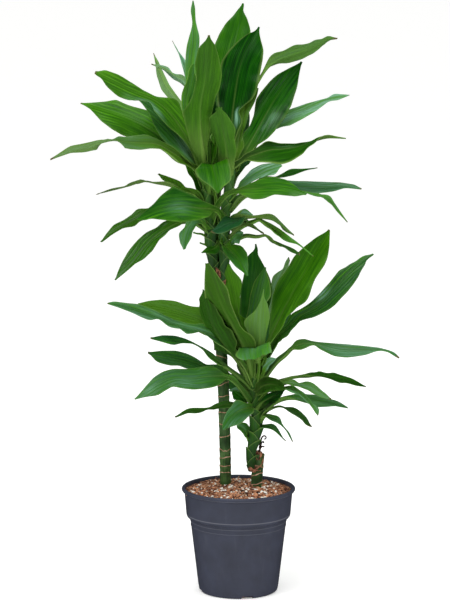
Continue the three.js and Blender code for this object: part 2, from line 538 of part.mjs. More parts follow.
// ---- dried scraps: rows of [across, up, back, radius], each a small curled shred ----
const TALL_STUB = [
  [[-37, 590, 34, 4.5], [-38, 598, 34, 3.6], [-40, 607, 33, 1.4]],
  [[-36, 592, 34, 4], [-34, 599, 36, 2.8], [-31, 605, 38, 1.4]],
];
const SHORT_HUSK = [
  [[39, 256, 14, 8], [39, 261, 13, 6.5], [40, 267, 11, 3]],
  [[41, 258, 13, 4], [45, 266, 9, 2.2], [50, 270, 5, 1.4], [51, 266, 2, 1.2]],
  [[40, 259, 12, 4], [41, 276, 8, 2.2], [45, 290, 4, 1.8], [50, 291, 0, 1.4], [48, 285, -2, 1.2]],
];

// ---- the plant in its pot ----
const tallCane = caneSolid(TALL_CANE, TALL_CANE_RADIUS, TALL_SCARS);
const shortCane = caneSolid(SHORT_CANE, SHORT_CANE_RADIUS, SHORT_SCARS);
const tallRoom = caneRoom(TALL_CANE, TALL_CANE_RADIUS);
const shortRoom = caneRoom(SHORT_CANE, SHORT_CANE_RADIUS);

const SHOOT_SIDES = 9;
const SHOOT_RINGS = 9;
const SCRAP_SIDES = 6;
const SCRAP_RINGS = 5;

function leafyShoot(rows, leaves, room) {
  const stem = shoot(rows, SHOOT_SIDES, SHOOT_RINGS);
  return mainBody([stem, ...leaves.map(leaf)]).subtract(room);
}

function scraps(shreds, room) {
  return mainBody(shreds.map((rows) => shoot(rows, SCRAP_SIDES, SCRAP_RINGS))).subtract(room);
}

const group = new THREE.Group();

function addPiece(name, solid, color, roughness) {
  const material = new THREE.MeshStandardMaterial({ color, roughness, metalness: 0 });
  const mesh = new THREE.Mesh(geometryOf(solid), material);
  mesh.name = name;
  group.add(mesh);
}

const leftShoot = leafyShoot(LEFT_SHOOT, LEFT_SHOOT_LEAVES, tallRoom);
const rightShoot = leafyShoot(RIGHT_SHOOT, RIGHT_SHOOT_LEAVES, tallRoom);
const shortShoot = leafyShoot(SHORT_SHOOT, SHORT_SHOOT_LEAVES, shortRoom);

addPiece("pot", potSolid(), 0x40434e, 0.55);
addPiece("potting_mix", mixSolid().subtract(tallRoom).subtract(shortRoom), 0x8a5a40, 1);
addPiece("tall_cane", tallCane, 0x2f5020, 0.6);
addPiece("tall_cane_stub", scraps(TALL_STUB, tallRoom), 0x9a6a52, 0.9);
addPiece("tall_left_shoot", leftShoot, 0x3f7d1f, 0.45);
addPiece("tall_right_shoot", rightShoot, 0x2f6b18, 0.45);
addPiece("short_cane", shortCane, 0x3a6a2a, 0.6);
addPiece("short_cane_husk", scraps(SHORT_HUSK, shortRoom), 0x7a4a34, 0.9);
addPiece("short_shoot", shortShoot, 0x357524, 0.45);

export default group;
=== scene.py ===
import math

import bpy
import numpy as np
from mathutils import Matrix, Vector, noise


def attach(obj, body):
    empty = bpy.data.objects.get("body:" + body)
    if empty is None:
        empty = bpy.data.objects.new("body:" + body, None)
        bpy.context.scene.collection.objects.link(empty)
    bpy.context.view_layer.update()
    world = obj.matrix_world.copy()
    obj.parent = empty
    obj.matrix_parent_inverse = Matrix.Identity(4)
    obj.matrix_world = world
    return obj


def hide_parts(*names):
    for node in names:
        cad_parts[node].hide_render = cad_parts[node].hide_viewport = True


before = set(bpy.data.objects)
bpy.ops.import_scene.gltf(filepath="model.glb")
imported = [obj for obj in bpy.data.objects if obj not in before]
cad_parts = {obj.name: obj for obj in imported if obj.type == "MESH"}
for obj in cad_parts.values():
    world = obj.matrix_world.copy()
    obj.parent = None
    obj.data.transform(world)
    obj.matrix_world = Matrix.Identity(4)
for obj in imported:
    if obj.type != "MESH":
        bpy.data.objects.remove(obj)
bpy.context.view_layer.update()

# ---- studio ----
# The plant stands on a wide sheet of pale seamless paper, in the even light of large soft boxes.
# It is seen through a long lens from a little above its top, and from well in front.
MM = 0.001  # all sizes below are in millimetres
EYE = np.array([-25.0, -4360.0, 1190.0])  # the camera's place


def in_scene(name, data):
    """A new object, at the origin, in the scene."""
    made = bpy.data.objects.new(name, data)
    bpy.context.scene.collection.objects.link(made)
    return made


camera_data = bpy.data.cameras.new("studio_camera")
camera_data.lens = 144
camera_data.sensor_width = 36
camera_data.clip_end = 300
camera = in_scene("studio_camera", camera_data)
camera.location = Vector(EYE) * MM
camera.rotation_euler = (math.radians(81.6), 0, 0)
bpy.context.scene.camera = camera
bpy.context.scene.view_settings.view_transform = "Standard"


def paint(code):
    """A colour given as sRGB hex, as the linear colour that a shader takes."""
    channels = [int(code[i : i + 2], 16) / 255 for i in (1, 3, 5)]
    return [c / 12.92 if c <= 0.04045 else ((c + 0.055) / 1.055) ** 2.4 for c in channels] + [1]


def add_node(tree, kind, inputs=None, **settings):
    """A node with its settings; an input takes a value, a socket, or a node for its first output."""
    made = tree.nodes.new(kind)
    for name, value in settings.items():
        setattr(made, name, value)
    for name, value in (inputs or {}).items():
        if isinstance(value, bpy.types.Node):
            value = next(output for output in value.outputs if output.enabled)
        if isinstance(value, bpy.types.NodeSocket):
            tree.links.new(value, made.inputs[name])
        else:
            made.inputs[name].default_value = value
    return made


def new_material(name):
    """An empty material with its node tree."""
    made = bpy.data.materials.new(name)
    made.use_nodes = True
    made.node_tree.nodes.clear()
    return made, made.node_tree


# Seamless paper is matt and all but white, faintly mottled in patches a hand's breadth across, and
# a little light comes through it.
paper, tree = new_material("seamless_paper")
place = add_node(tree, "ShaderNodeTexCoord").outputs["Object"]
mottle = add_node(tree, "ShaderNodeTexNoise", {"Vector": place, "Scale": 1 / 0.18})
white = add_node(tree, "ShaderNodeMix", {"Factor": mottle, 6: paint("#f4f4f2"), 7: paint("#fafaf9")},
                 data_type="RGBA")
shader = add_node(tree, "ShaderNodeBsdfPrincipled",
                  {"Base Color": white, "Roughness": 0.9, "Emission Color": paint("#ffffff"),
                   "Emission Strength": 0.27})
add_node(tree, "ShaderNodeOutputMaterial", {"Surface": shader})

FLOOR_HALF = 80.0  # metres, past the edge of the picture
sheet = bpy.data.meshes.new("studio_floor")
sheet.from_pydata([(-FLOOR_HALF, -FLOOR_HALF, 0), (FLOOR_HALF, -FLOOR_HALF, 0),
                   (FLOOR_HALF, FLOOR_HALF, 0), (-FLOOR_HALF, FLOOR_HALF, 0)], [], [(0, 1, 2, 3)])
sheet.materials.append(paper)
studio_floor = in_scene("studio_floor", sheet)
studio_floor.visible_glossy = False

SOFT_BOXES = [  # name, place and size in metres, watts, whether it shows in the gloss
    ("soft_box_top", (-0.3, -0.7, 3.0), 1.5, 34, True),
    ("soft_box_left", (-2.6, -2.2, 1.9), 1.2, 22, False),
    ("soft_box_right", (2.8, -1.4, 1.7), 0.9, 9, False),
    ("soft_box_back", (0.6, 2.4, 2.6), 0.9, 16, False),
]
for name, place, size, watts, mirrored in SOFT_BOXES:
    light = bpy.data.lights.new(name, "AREA")
    light.energy = watts
    light.size = size
    box = in_scene(name, light)
    box.location = place
    box.visible_glossy = mirrored
    box.rotation_euler = (Vector((0, 0, 0.6)) - Vector(place)).to_track_quat("-Z", "Y").to_euler()

# A white room lights it evenly. Black flags round the set keep the room's glare out of the gloss,
# so the room is dim where a shine would mirror it.
world = bpy.data.worlds.new("white_room")
world.use_nodes = True
ray = add_node(world.node_tree, "ShaderNodeLightPath").outputs["Is Glossy Ray"]
glare = add_node(world.node_tree, "ShaderNodeMapRange", {"Value": ray, "To Min": 0.86, "To Max": 0.02})
room = world.node_tree.nodes["Background"]
room.inputs["Color"].default_value = paint("#ffffff")
world.node_tree.links.new(glare.outputs["Result"], room.inputs["Strength"])
bpy.context.scene.world = world


# ---- nursery pot ----
# A 21 cm grower's pot, injection moulded in dull slate polypropylene: a rolled rim over a wide
# collar, a rounded step into the tapered body with two fine rings, and four slots at the base.
POT_HEIGHT, RIM_RADIUS, BASE_RADIUS, COLLAR_BOTTOM = 196.0, 105.5, 73.5, 139.0
POT_WALL, BEAD_RADIUS, CORNER = 2.0, 3.6, 5.0
COLLAR_FLARE, COLLAR_HEIGHT = 3.4, 40.4
COLLAR_TOP_RADIUS = RIM_RADIUS - BEAD_RADIUS - 1.5
COLLAR_RADIUS = COLLAR_TOP_RADIUS - COLLAR_FLARE
BODY_RADIUS = COLLAR_RADIUS - 7
STEP_LIP, STEP_WIDTH, STEP_HEIGHT = 0.6, 6.4, 8.0  # the rounded step under the collar
RINGS, RING_HEIGHT = (125, 134), 0.7  # heights of the two fine rings, and how proud they stand
POT_SIDES = 168


def body_radius(z):
    """Outer radius of the tapered body at a height."""
    return BASE_RADIUS + (BODY_RADIUS - BASE_RADIUS) * z / COLLAR_BOTTOM


def arc(radius, height, wide, high, turns):
    """Points round an ellipse about (radius, height), at turns in degrees from straight out."""
    return [(radius + wide * math.cos(math.radians(turn)), height + high * math.sin(math.radians(turn)))
            for turn in turns]


def pot_section():
    """The wall's section as (radius, height), from the middle of the base, out, up and back in."""
    points = [(0, 0), (40, 0), *arc(BASE_RADIUS - CORNER, CORNER, CORNER, CORNER, range(-90, 1, 18))]
    points += [(body_radius(z), z) for z in range(12, 121, 12)]
    for ring in RINGS:
        for step in (-2.0, -1.0, -0.4, 0.4, 1.0, 2.0):
            points.append((body_radius(ring + step) + RING_HEIGHT * math.exp(-(step**2)), ring + step))
    points += [(BODY_RADIUS, 138.2), (BODY_RADIUS + STEP_LIP, COLLAR_BOTTOM)]
    collar_foot = COLLAR_BOTTOM + STEP_HEIGHT
    points += arc(BODY_RADIUS + STEP_LIP, collar_foot, STEP_WIDTH, STEP_HEIGHT, range(-75, 1, 15))
    points += [(COLLAR_RADIUS + COLLAR_FLARE * share, collar_foot + COLLAR_HEIGHT * share)
               for share in (0.25, 0.5, 0.75, 0.94, 1.0)]
    points += arc(RIM_RADIUS - BEAD_RADIUS, POT_HEIGHT - BEAD_RADIUS, BEAD_RADIUS, BEAD_RADIUS,
                  range(-80, 181, 20))
    points += [(COLLAR_TOP_RADIUS - POT_WALL, 187), (COLLAR_RADIUS - POT_WALL, 148)]
    points += [(BODY_RADIUS - POT_WALL, COLLAR_BOTTOM), (body_radius(70) - POT_WALL, 70)]
    points += [(body_radius(9) - POT_WALL, 9), (BASE_RADIUS - 5.5, POT_WALL), (0, POT_WALL)]
    return points


def solid_mesh(name, verts, faces, edges=()):
    """A mesh from places in millimetres."""
    mesh = bpy.data.meshes.new(name)
    mesh.from_pydata((np.array(verts) * MM).tolist(), list(edges), faces)
    return mesh


def tube_faces(rings, sides):
    """Faces of a closed solid that runs from a point through rings of points to a last point."""
    faces, last = [], 1 + (rings - 1) * sides
    for j in range(sides):
        k = (j + 1) % sides
        faces.append((0, 1 + k, 1 + j))
        for a in range(1, last, sides):
            faces.append((a + j, a + k, a + sides + k, a + sides + j))
        faces.append((last + sides, last + j, last + k))
    return faces


def turned_mesh(name, section, sides):
    """A closed solid turned round +Z from a section that starts and ends on the axis."""
    turn = np.linspace(0, 2 * math.pi, sides, endpoint=False)
    ring = np.stack([np.cos(turn), np.sin(turn)], 1)
    places = [np.column_stack([ring * r, np.full(sides, float(z))]) for r, z in section[1:-1]]
    verts = np.vstack([[(0, 0, section[0][1])], *places, [(0, 0, section[-1][1])]])
    return solid_mesh(name, verts, tube_faces(len(places), sides))


def new_piece(name, mesh, material, smooth=50):
    """An object at the origin with its finish; edges sharper than smooth degrees stay crisp."""
    mesh.name = name
    mesh.materials.clear()
    mesh.materials.append(material)
    mesh.shade_smooth()
    mesh.set_sharp_from_angle(angle=math.radians(smooth))
    piece = in_scene(name, mesh)
    return piece


def plain_mesh(piece):
    """The piece's mesh with its modifiers applied; the piece is removed."""
    view = bpy.context.evaluated_depsgraph_get()
    made = bpy.data.meshes.new_from_object(piece.evaluated_get(view))
    bpy.data.objects.remove(piece)
    return made


def slot_cutters():
    """Four wedges, 22 mm wide and 5 mm high, that reach through the foot of the wall."""
    outline = [(-11, -2), (11, -2), (11, 3.4), (9.4, 5), (-9.4, 5), (-11, 3.4)]
    verts, faces = [], []
    for quarter in range(4):
        turn = math.radians(13 + 90 * quarter)
        foot = len(verts)
        for depth in (-(BASE_RADIUS + 2), -(BASE_RADIUS - 12)):
            for x, z in outline:
                verts.append((x * math.cos(turn) - depth * math.sin(turn),
                              x * math.sin(turn) + depth * math.cos(turn), z))
        faces.append([foot + i for i in range(6)])
        faces.append([foot + 11 - i for i in range(6)])
        faces += [(foot + i, foot + 6 + i, foot + 6 + (i + 1) % 6, foot + (i + 1) % 6)
                  for i in range(6)]
    return solid_mesh("slot_cutters", verts, faces)


def set_stops(ramp, *stops):
    """Hex colours set along a colour ramp, each as (position, colour), from low to high."""
    elements = ramp.color_ramp.elements
    for number, (position, code) in enumerate((stops[0], stops[-1])):
        elements[number].position, elements[number].color = position, paint(code)
    for position, code in stops[1:-1]:
        elements.new(position).color = paint(code)


# Polypropylene straight from the mould has a faint orange-peel skin and a soft, greyish shine.
# Handling leaves pale, upright rub marks and cloudy patches.
polypropylene, tree = new_material("moulded_polypropylene")
place = add_node(tree, "ShaderNodeTexCoord").outputs["Object"]
cloud = add_node(tree, "ShaderNodeTexNoise", {"Vector": place, "Scale": 1 / 0.03, "Detail": 4.0})
grain = add_node(tree, "ShaderNodeTexNoise", {"Vector": place, "Scale": 1 / 0.0012})
flow = add_node(tree, "ShaderNodeMapping", {"Vector": place, "Scale": (1 / 0.006, 1 / 0.006, 4.0)})
rub = add_node(tree, "ShaderNodeTexNoise", {"Vector": flow, "Scale": 1.0, "Detail": 4.0})
slate = add_node(tree, "ShaderNodeValToRGB", {"Fac": cloud})
set_stops(slate, (0.3, "#383b49"), (0.7, "#3d4152"))
scuff = add_node(tree, "ShaderNodeMapRange",
                 {"Value": rub, "From Min": 0.58, "From Max": 0.8, "To Max": 0.16})
wear_and_painted_highlight = add_node(tree, "ShaderNodeMix", {"Factor": scuff, 6: slate, 7: paint("#5b5e68")},
                data_type="RGBA")
# painted highlight: the moulded rings and the collar's edges are painted pale, where their raised edges
# catch the light
height = add_node(tree, "ShaderNodeSeparateXYZ", {0: place}).outputs["Z"]
for ring, reach, most in ((125, 1.0, 0.2), (134, 1.0, 0.25), (146.5, 1.2, 0.5), (189.2, 1.4, 0.35)):
    away = add_node(tree, "ShaderNodeMath", {0: height, 1: ring * MM}, operation="SUBTRACT")
    away = add_node(tree, "ShaderNodeMath", {0: away}, operation="ABSOLUTE")
    painted_edge_highlight = add_node(tree, "ShaderNodeMapRange",
                      {"Value": away, "From Max": reach * MM, "To Min": most, "To Max": 0.0})
    wear_and_painted_highlight = add_node(tree, "ShaderNodeMix", {"Factor": painted_edge_highlight, 6: wear_and_painted_highlight, 7: paint("#868890")},
                    data_type="RGBA")
dull = add_node(tree, "ShaderNodeMapRange", {"Value": rub, "To Min": 0.38, "To Max": 0.56})
peel = add_node(tree, "ShaderNodeBump", {"Height": grain, "Strength": 0.25, "Distance": 0.0002})
shader = add_node(tree, "ShaderNodeBsdfPrincipled",
                  {"Base Color": wear_and_painted_highlight, "Roughness": dull, "Normal": peel, "IOR": 1.49})
add_node(tree, "ShaderNodeOutputMaterial", {"Surface": shader})

blank = new_piece("pot_blank", turned_mesh("pot_blank", pot_section(), POT_SIDES), polypropylene)
cutters = new_piece("slot_cutters", slot_cutters(), polypropylene)
cut = blank.modifiers.new("drainage_slots", "BOOLEAN")
cut.operation, cut.solver, cut.object = "DIFFERENCE", "EXACT", cutters
pot_mesh = plain_mesh(blank)
bpy.data.objects.remove(cutters)
nursery_pot = new_piece("nursery_pot", pot_mesh, polypropylene, smooth=38)
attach(nursery_pot, "root")
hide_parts("pot")


# ---- potting mix ----
# Moist coir and peat, poured in and watered down: a lumpy brown crumb that lies a few millimetres
# under the rim and rises a little towards the canes.
MIX_RIM = COLLAR_TOP_RADIUS - POT_WALL - 0.3
MIX_DROP, MIX_MOUND = 6.5, 5.5


def mix_height(x, y):
    """Height of the mix: mounded towards the middle, with broad and fine unevenness."""
    reach = math.hypot(x, y) / (COLLAR_TOP_RADIUS - POT_WALL)
    broad = math.sin(0.21 * x + 1.3) * math.sin(0.19 * y + 0.4)
    fine = 0.7 * math.sin(0.43 * x - 0.37 * y)
    return POT_HEIGHT - MIX_DROP + MIX_MOUND * (1 - reach**2) + (broad + fine) * (1 - reach**4)


def crumb(x, y):
    """Height of the crumbs on the mix, a few millimetres across."""
    lumps = noise.noise(Vector((x / 9, y / 9, 0.3)))
    grains = noise.noise(Vector((x / 3.2, y / 3.2, 7.1)))
    return 1.5 * lumps + 0.9 * grains


MIX_SIDES, MIX_RINGS = 150, 46
rows = [(MIX_RIM * (i / MIX_RINGS) ** 0.8, None) for i in range(1, MIX_RINGS + 1)]
rows += [(COLLAR_RADIUS - 2.4, 148.0), (BODY_RADIUS - 2.4, 139.0), (body_radius(9) - 3, 9.0)]
rows += [(BASE_RADIUS - 7.5, 2.4)]
verts = [(0, 0, mix_height(0, 0))]
for radius, height in rows:
    for j in range(MIX_SIDES):
        turn = 2 * math.pi * j / MIX_SIDES
        x, y = radius * math.cos(turn), radius * math.sin(turn)
        edge = min(1, (MIX_RIM - radius) / 6)
        verts.append((x, y, mix_height(x, y) + crumb(x, y) * edge if height is None else height))
faces = []
for j in range(MIX_SIDES):
    k = (j + 1) % MIX_SIDES
    faces.append((0, 1 + j, 1 + k))
    for i in range(len(rows) - 1):
        a = 1 + i * MIX_SIDES
        faces.append((a + j, a + MIX_SIDES + j, a + MIX_SIDES + k, a + k))
faces.append([1 + (len(rows) - 1) * MIX_SIDES + j for j in reversed(range(MIX_SIDES))])

# Coir is fibrous and dull, from tan where it has dried to dark brown. Its colour follows the crumb's
# relief, so the low gaps are painted near black as painted shade.
coir, tree = new_material("moist_coir")
place = add_node(tree, "ShaderNodeTexCoord").outputs["Object"]
clod = add_node(tree, "ShaderNodeTexNoise",
                {"Vector": place, "Scale": 1 / 0.009, "Detail": 5.0, "Roughness": 0.7})
brown = add_node(tree, "ShaderNodeValToRGB", {"Fac": clod})
set_stops(brown, (0.44, "#241008"), (0.54, "#7d4a30"), (0.66, "#bb7f58"))
rough = add_node(tree, "ShaderNodeBump", {"Height": clod, "Strength": 0.8, "Distance": 0.0015})
shader = add_node(tree, "ShaderNodeBsdfPrincipled",
                  {"Base Color": brown, "Roughness": 0.92, "Normal": rough})
add_node(tree, "ShaderNodeOutputMaterial", {"Surface": shader})
potting_mix = new_piece("potting_mix_bed", solid_mesh("potting_mix", verts, faces), coir, smooth=80)
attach(potting_mix, "root")
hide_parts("potting_mix")


# ---- coir chips, perlite and fibres ----
# What lies loose on the mix: chips of husk, white grains of expanded perlite, and strands of coir.
# Each is scattered over the top of the mix by a tree of its own, with its own sizes and seed.
def bed_top(name):
    """The open top of the mix, kept clear of the pot's wall, as the bed that grains fall on."""
    steps, sides = 24, 72
    points, tiles = [], []
    for i in range(steps + 1):
        for j in range(sides):
            radius = (MIX_RIM - 9) * i / steps
            x = radius * math.cos(2 * math.pi * j / sides)
            y = radius * math.sin(2 * math.pi * j / sides)
            points.append((x, y, mix_height(x, y) + crumb(x, y)))
    for i in range(steps):
        for j in range(sides):
            a, b = i * sides + j, i * sides + (j + 1) % sides
            tiles.append((a, a + sides, b + sides, b))
    return in_scene(name, solid_mesh(name, points, tiles))


def tree_input(group, name, kind, value):
    """A named input of a Geometry Nodes tree."""
    group.interface.new_socket(name, in_out="INPUT", socket_type=kind).default_value = value


def scatter_tree(name, material, strand):
    """Geometry Nodes that scatter grains, or thin bent strands, over a bed."""
    group = bpy.data.node_groups.new(name, "GeometryNodeTree")
    group.interface.new_socket("Bed", in_out="INPUT", socket_type="NodeSocketGeometry")
    group.interface.new_socket("Grains", in_out="OUTPUT", socket_type="NodeSocketGeometry")
    tree_input(group, "Grains per Square Metre", "NodeSocketFloat", 1000.0)
    tree_input(group, "Smallest", "NodeSocketFloat", 0.002)
    tree_input(group, "Largest", "NodeSocketFloat", 0.006)
    tree_input(group, "Flatness", "NodeSocketFloat", 0.5)
    tree_input(group, "Thickness", "NodeSocketFloat", 0.0004)
    tree_input(group, "Seed", "NodeSocketInt", 1)
    given = add_node(group, "NodeGroupInput").outputs
    fallen = add_node(group, "GeometryNodeDistributePointsOnFaces",
                      {"Mesh": given["Bed"], "Density": given["Grains per Square Metre"],
                       "Seed": given["Seed"]})
    size = add_node(group, "FunctionNodeRandomValue", {2: given["Smallest"], 3: given["Largest"],
                                                       "Seed": given["Seed"]})
    spin = add_node(group, "FunctionNodeRandomValue",
                    {0: (-0.35, -0.35, 0.0), 1: (0.35, 0.35, 6.283), "Seed": given["Seed"]},
                    data_type="FLOAT_VECTOR")
    turn = add_node(group, "FunctionNodeEulerToRotation", {0: spin})
    if strand:
        line = add_node(group, "GeometryNodeCurvePrimitiveLine",
                        {"Start": (-0.5, 0, 0), "End": (0.5, 0, 0)})
        grain = add_node(group, "GeometryNodeResampleCurve", {"Curve": line, "Count": 9})
        scale, pitch, reach = size, 0.012, 0.016
    else:
        grain = add_node(group, "GeometryNodeMeshIcoSphere", {"Radius": 0.5, "Subdivisions": 2})
        flat = add_node(group, "ShaderNodeCombineXYZ", {"X": 1.0, "Y": 0.75, "Z": given["Flatness"]})
        scale = add_node(group, "ShaderNodeVectorMath", {0: flat, "Scale": size}, operation="SCALE")
        pitch, reach = 0.0028, 0.0026
    laid = add_node(group, "GeometryNodeInstanceOnPoints",
                    {"Points": fallen, "Instance": grain, "Rotation": turn, "Scale": scale})
    real = add_node(group, "GeometryNodeRealizeInstances", {"Geometry": laid})
    # a noise of its place bends every grain or strand its own way
    here = add_node(group, "GeometryNodeInputPosition")
    rough = add_node(group, "ShaderNodeTexNoise", {"Vector": here, "Scale": 1 / pitch, "Detail": 1.0})
    centred = add_node(group, "ShaderNodeVectorMath",
                       {0: rough.outputs["Color"], 1: (0.5, 0.5, 0.5)}, operation="SUBTRACT")
    shift = add_node(group, "ShaderNodeVectorMath", {0: centred, "Scale": reach}, operation="SCALE")
    shape = add_node(group, "GeometryNodeSetPosition", {"Geometry": real, "Offset": shift})
    if strand:
        round_ = add_node(group, "GeometryNodeCurvePrimitiveCircle",
                          {"Resolution": 5, "Radius": given["Thickness"]})
        shape = add_node(group, "GeometryNodeCurveToMesh",
                         {"Curve": shape, "Profile Curve": round_, "Fill Caps": True})
    painted = add_node(group, "GeometryNodeSetMaterial", {"Geometry": shape, "Material": material})
    add_node(group, "NodeGroupOutput", {"Grains": painted})
    return group


def scatter(name, material, slot, strand=False, **sizes):
    """One piece of loose grains on the mix, from the tree's named inputs."""
    bed = bed_top(name + "_bed")
    dressing = bed.modifiers.new(name, "NODES")
    dressing.node_group = scatter_tree(name, material, strand)
    sockets = {item.name: item.identifier for item in dressing.node_group.interface.items_tree}
    for words, value in sizes.items():
        dressing[sockets[words.replace("_", " ").title().replace("Per", "per")]] = value
    piece = new_piece(name, plain_mesh(bed), material, smooth=60)
    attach(piece, "root")


def grain_material(name, dark, light, roughness):
    """A dull grain whose colour drifts from one grain to the next."""
    made, tree = new_material(name)
    place = add_node(tree, "ShaderNodeTexCoord").outputs["Object"]
    drift = add_node(tree, "ShaderNodeTexNoise", {"Vector": place, "Scale": 1 / 0.006, "Detail": 3.0})
    tint = add_node(tree, "ShaderNodeValToRGB", {"Fac": drift})
    set_stops(tint, (0.4, dark), (0.62, light))
    pits = add_node(tree, "ShaderNodeTexNoise", {"Vector": place, "Scale": 1 / 0.0012})
    bump = add_node(tree, "ShaderNodeBump", {"Height": pits, "Strength": 0.6, "Distance": 0.0004})
    shader = add_node(tree, "ShaderNodeBsdfPrincipled",
                      {"Base Color": tint, "Roughness": roughness, "Normal": bump})
    add_node(tree, "ShaderNodeOutputMaterial", {"Surface": shader})
    return made


# Dried coir husk is dull and tan to dark brown, and its loose strands are straw brown. Expanded
# perlite is chalky, white and pitted.
husk_chip = grain_material("coir_husk_chip", "#53291a", "#d4966e", 0.9)
perlite = grain_material("expanded_perlite", "#d8d2c4", "#fbf9f2", 0.85)
coir_strand = grain_material("coir_strand", "#8a5638", "#dfb08a", 0.8)
scatter("coir_chips", husk_chip, "potting_mix", grains_per_square_metre=27000.0, smallest=0.003,
        largest=0.0095, flatness=0.5, seed=3)
scatter("perlite_grains", perlite, "potting_mix", grains_per_square_metre=9500.0, smallest=0.002,
        largest=0.0068, flatness=0.95, seed=12)
scatter("coir_strands", coir_strand, "potting_mix", strand=True, grains_per_square_metre=9000.0,
        smallest=0.012, largest=0.034, thickness=0.00038, seed=21)


# ---- tall cane ----
# A rooted length of woody stem, still green, that stands in the mix. Each fallen leaf has left a
# narrow corky scar right round it, and the scars dip and rise as the leaf bases did.
def lift(seen):
    """Rows of [across, up, back] as places in space: the plant is laid out as it is seen."""
    seen = np.asarray(seen, float)
    k = 1 - seen[:, 2] / EYE[1]
    return np.column_stack([EYE[0] + (seen[:, 0] - EYE[0]) * k, seen[:, 2],
                            EYE[2] + (seen[:, 1] - EYE[2]) * k])


def smooth_line(points, count):
    """A smooth line through points, as count places evenly spaced along it."""
    p = np.asarray(points, float)
    p = np.vstack([2 * p[0] - p[1], p, 2 * p[-1] - p[-2]])
    dense = []
    u = np.linspace(0, 1, 24, endpoint=False)[:, None]
    for i in range(1, len(p) - 2):
        a, b, c, d = p[i - 1 : i + 3]
        ab, bc, cd = (max(np.linalg.norm(q), 1e-9) ** 0.5 for q in (b - a, c - b, d - c))
        leave = bc * ((b - a) / ab - (c - a) / (ab + bc) + (c - b) / bc)
        arrive = bc * ((c - b) / bc - (d - b) / (bc + cd) + (d - c) / cd)
        dense.append(b + leave * u + (3 * (c - b) - 2 * leave - arrive) * u**2
                     + (2 * (b - c) + leave + arrive) * u**3)
    dense = np.vstack([*dense, p[-2:-1]])
    run = np.concatenate([[0], np.cumsum(np.linalg.norm(np.diff(dense, axis=0), axis=1))])
    at = np.linspace(0, run[-1], count)
    return np.column_stack([np.interp(at, run, dense[:, k]) for k in range(dense.shape[1])])


def cane_middle(rows, heights):
    """Middle of a cane at each height; below its first row it stands straight."""
    line = smooth_line(lift(rows), 200)
    heights = np.clip(heights, line[0, 2], line[-1, 2])
    return np.column_stack([np.interp(heights, line[:, 2], line[:, k]) for k in (0, 1)])


def cane_piece(name, rows, radius, scars, depth, top, node, material):
    """A slightly uneven, knuckled stem: it swells under each scar and narrows above it.

    rows are [across, up, back]; it reaches depth below the first of them, and up to top.
    """
    sides, spacing = 40, 1.6
    low = lift(rows[:1])[0, 2] - depth
    heights = np.arange(low, top + 0.1, spacing)
    middle = cane_middle(rows, heights)
    turn = np.linspace(0, 2 * math.pi, sides, endpoint=False)
    scar_heights = np.array([scar[0] for scar in scars])
    verts = [(*middle[0], low)]
    for (x, y), z in zip(middle, heights):
        gap = z - scar_heights
        swell = 0.45 * np.exp(-((gap + 2.5) / 3.5) ** 2).sum() - 0.3 * np.exp(-((gap - 2) / 2) ** 2).sum()
        for t in turn:
            lump = noise.noise(Vector((math.cos(t), math.sin(t), z / 26)))
            r = radius - 0.3 + swell + 0.35 * lump
            verts.append((x + r * math.cos(t), y + r * math.sin(t), z))
    verts.append((*middle[-1], top + 0.4))
    piece = new_piece(name, solid_mesh(name, verts, tube_faces(len(heights), sides)), material)
    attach(piece, "root")
    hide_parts(node)


def scar_tree(material):
    """Geometry Nodes that run a low corky ridge along each scar's line."""
    group = bpy.data.node_groups.new("leaf_scars", "GeometryNodeTree")
    group.interface.new_socket("Lines", in_out="INPUT", socket_type="NodeSocketGeometry")
    group.interface.new_socket("Ridges", in_out="OUTPUT", socket_type="NodeSocketGeometry")
    tree_input(group, "Ridge Radius", "NodeSocketFloat", 0.0007)
    given = add_node(group, "NodeGroupInput").outputs
    lines = add_node(group, "GeometryNodeMeshToCurve", {"Mesh": given["Lines"]})
    here = add_node(group, "GeometryNodeInputPosition")
    cork = add_node(group, "ShaderNodeTexNoise", {"Vector": here, "Scale": 1 / 0.005})
    width = add_node(group, "ShaderNodeMapRange", {"Value": cork, "From Min": 0.3, "From Max": 0.7,
                                                   "To Min": 0.55, "To Max": 1.4})
    ring = add_node(group, "GeometryNodeCurvePrimitiveCircle",
                    {"Resolution": 8, "Radius": given["Ridge Radius"]})
    ridge = add_node(group, "GeometryNodeCurveToMesh",
                     {"Curve": lines, "Profile Curve": ring, "Scale": width})
    real = add_node(group, "GeometryNodeRealizeInstances", {"Geometry": ridge})
    painted = add_node(group, "GeometryNodeSetMaterial", {"Geometry": real, "Material": material})
    add_node(group, "NodeGroupOutput", {"Ridges": painted})
    return group


def scar_piece(name, rows, radius, scars, material, ridge=0.0007):
    """All of a cane's scars: each is [height, how far it waves, where it peaks in degrees, dip]."""
    steps = 56
    turn = np.linspace(0, 2 * math.pi, steps, endpoint=False)
    verts, lines = [], []
    for number, (height, wave, peak, dip) in enumerate(scars):
        away = np.angle(np.exp(1j * (turn - math.radians(peak))))
        z = height + wave * np.cos(away) - dip * np.exp(-((np.abs(away) - 0.2) / 0.35) ** 2)
        z += 0.35 * np.sin(5 * turn + number)
        middle = cane_middle(rows, z)
        r = radius - 0.25
        foot = len(verts)
        verts += list(zip(middle[:, 0] + r * np.cos(turn), middle[:, 1] + r * np.sin(turn), z))
        lines += [(foot + i, foot + (i + 1) % steps) for i in range(steps)]
    drawn = in_scene(name + "_lines", solid_mesh(name + "_lines", verts, [], lines))
    ridges = drawn.modifiers.new("leaf_scars", "NODES")
    ridges.node_group = scar_tree(material)
    sockets = {item.name: item.identifier for item in ridges.node_group.interface.items_tree}
    ridges[sockets["Ridge Radius"]] = ridge
    piece = new_piece(name, plain_mesh(drawn), material)
    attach(piece, "root")


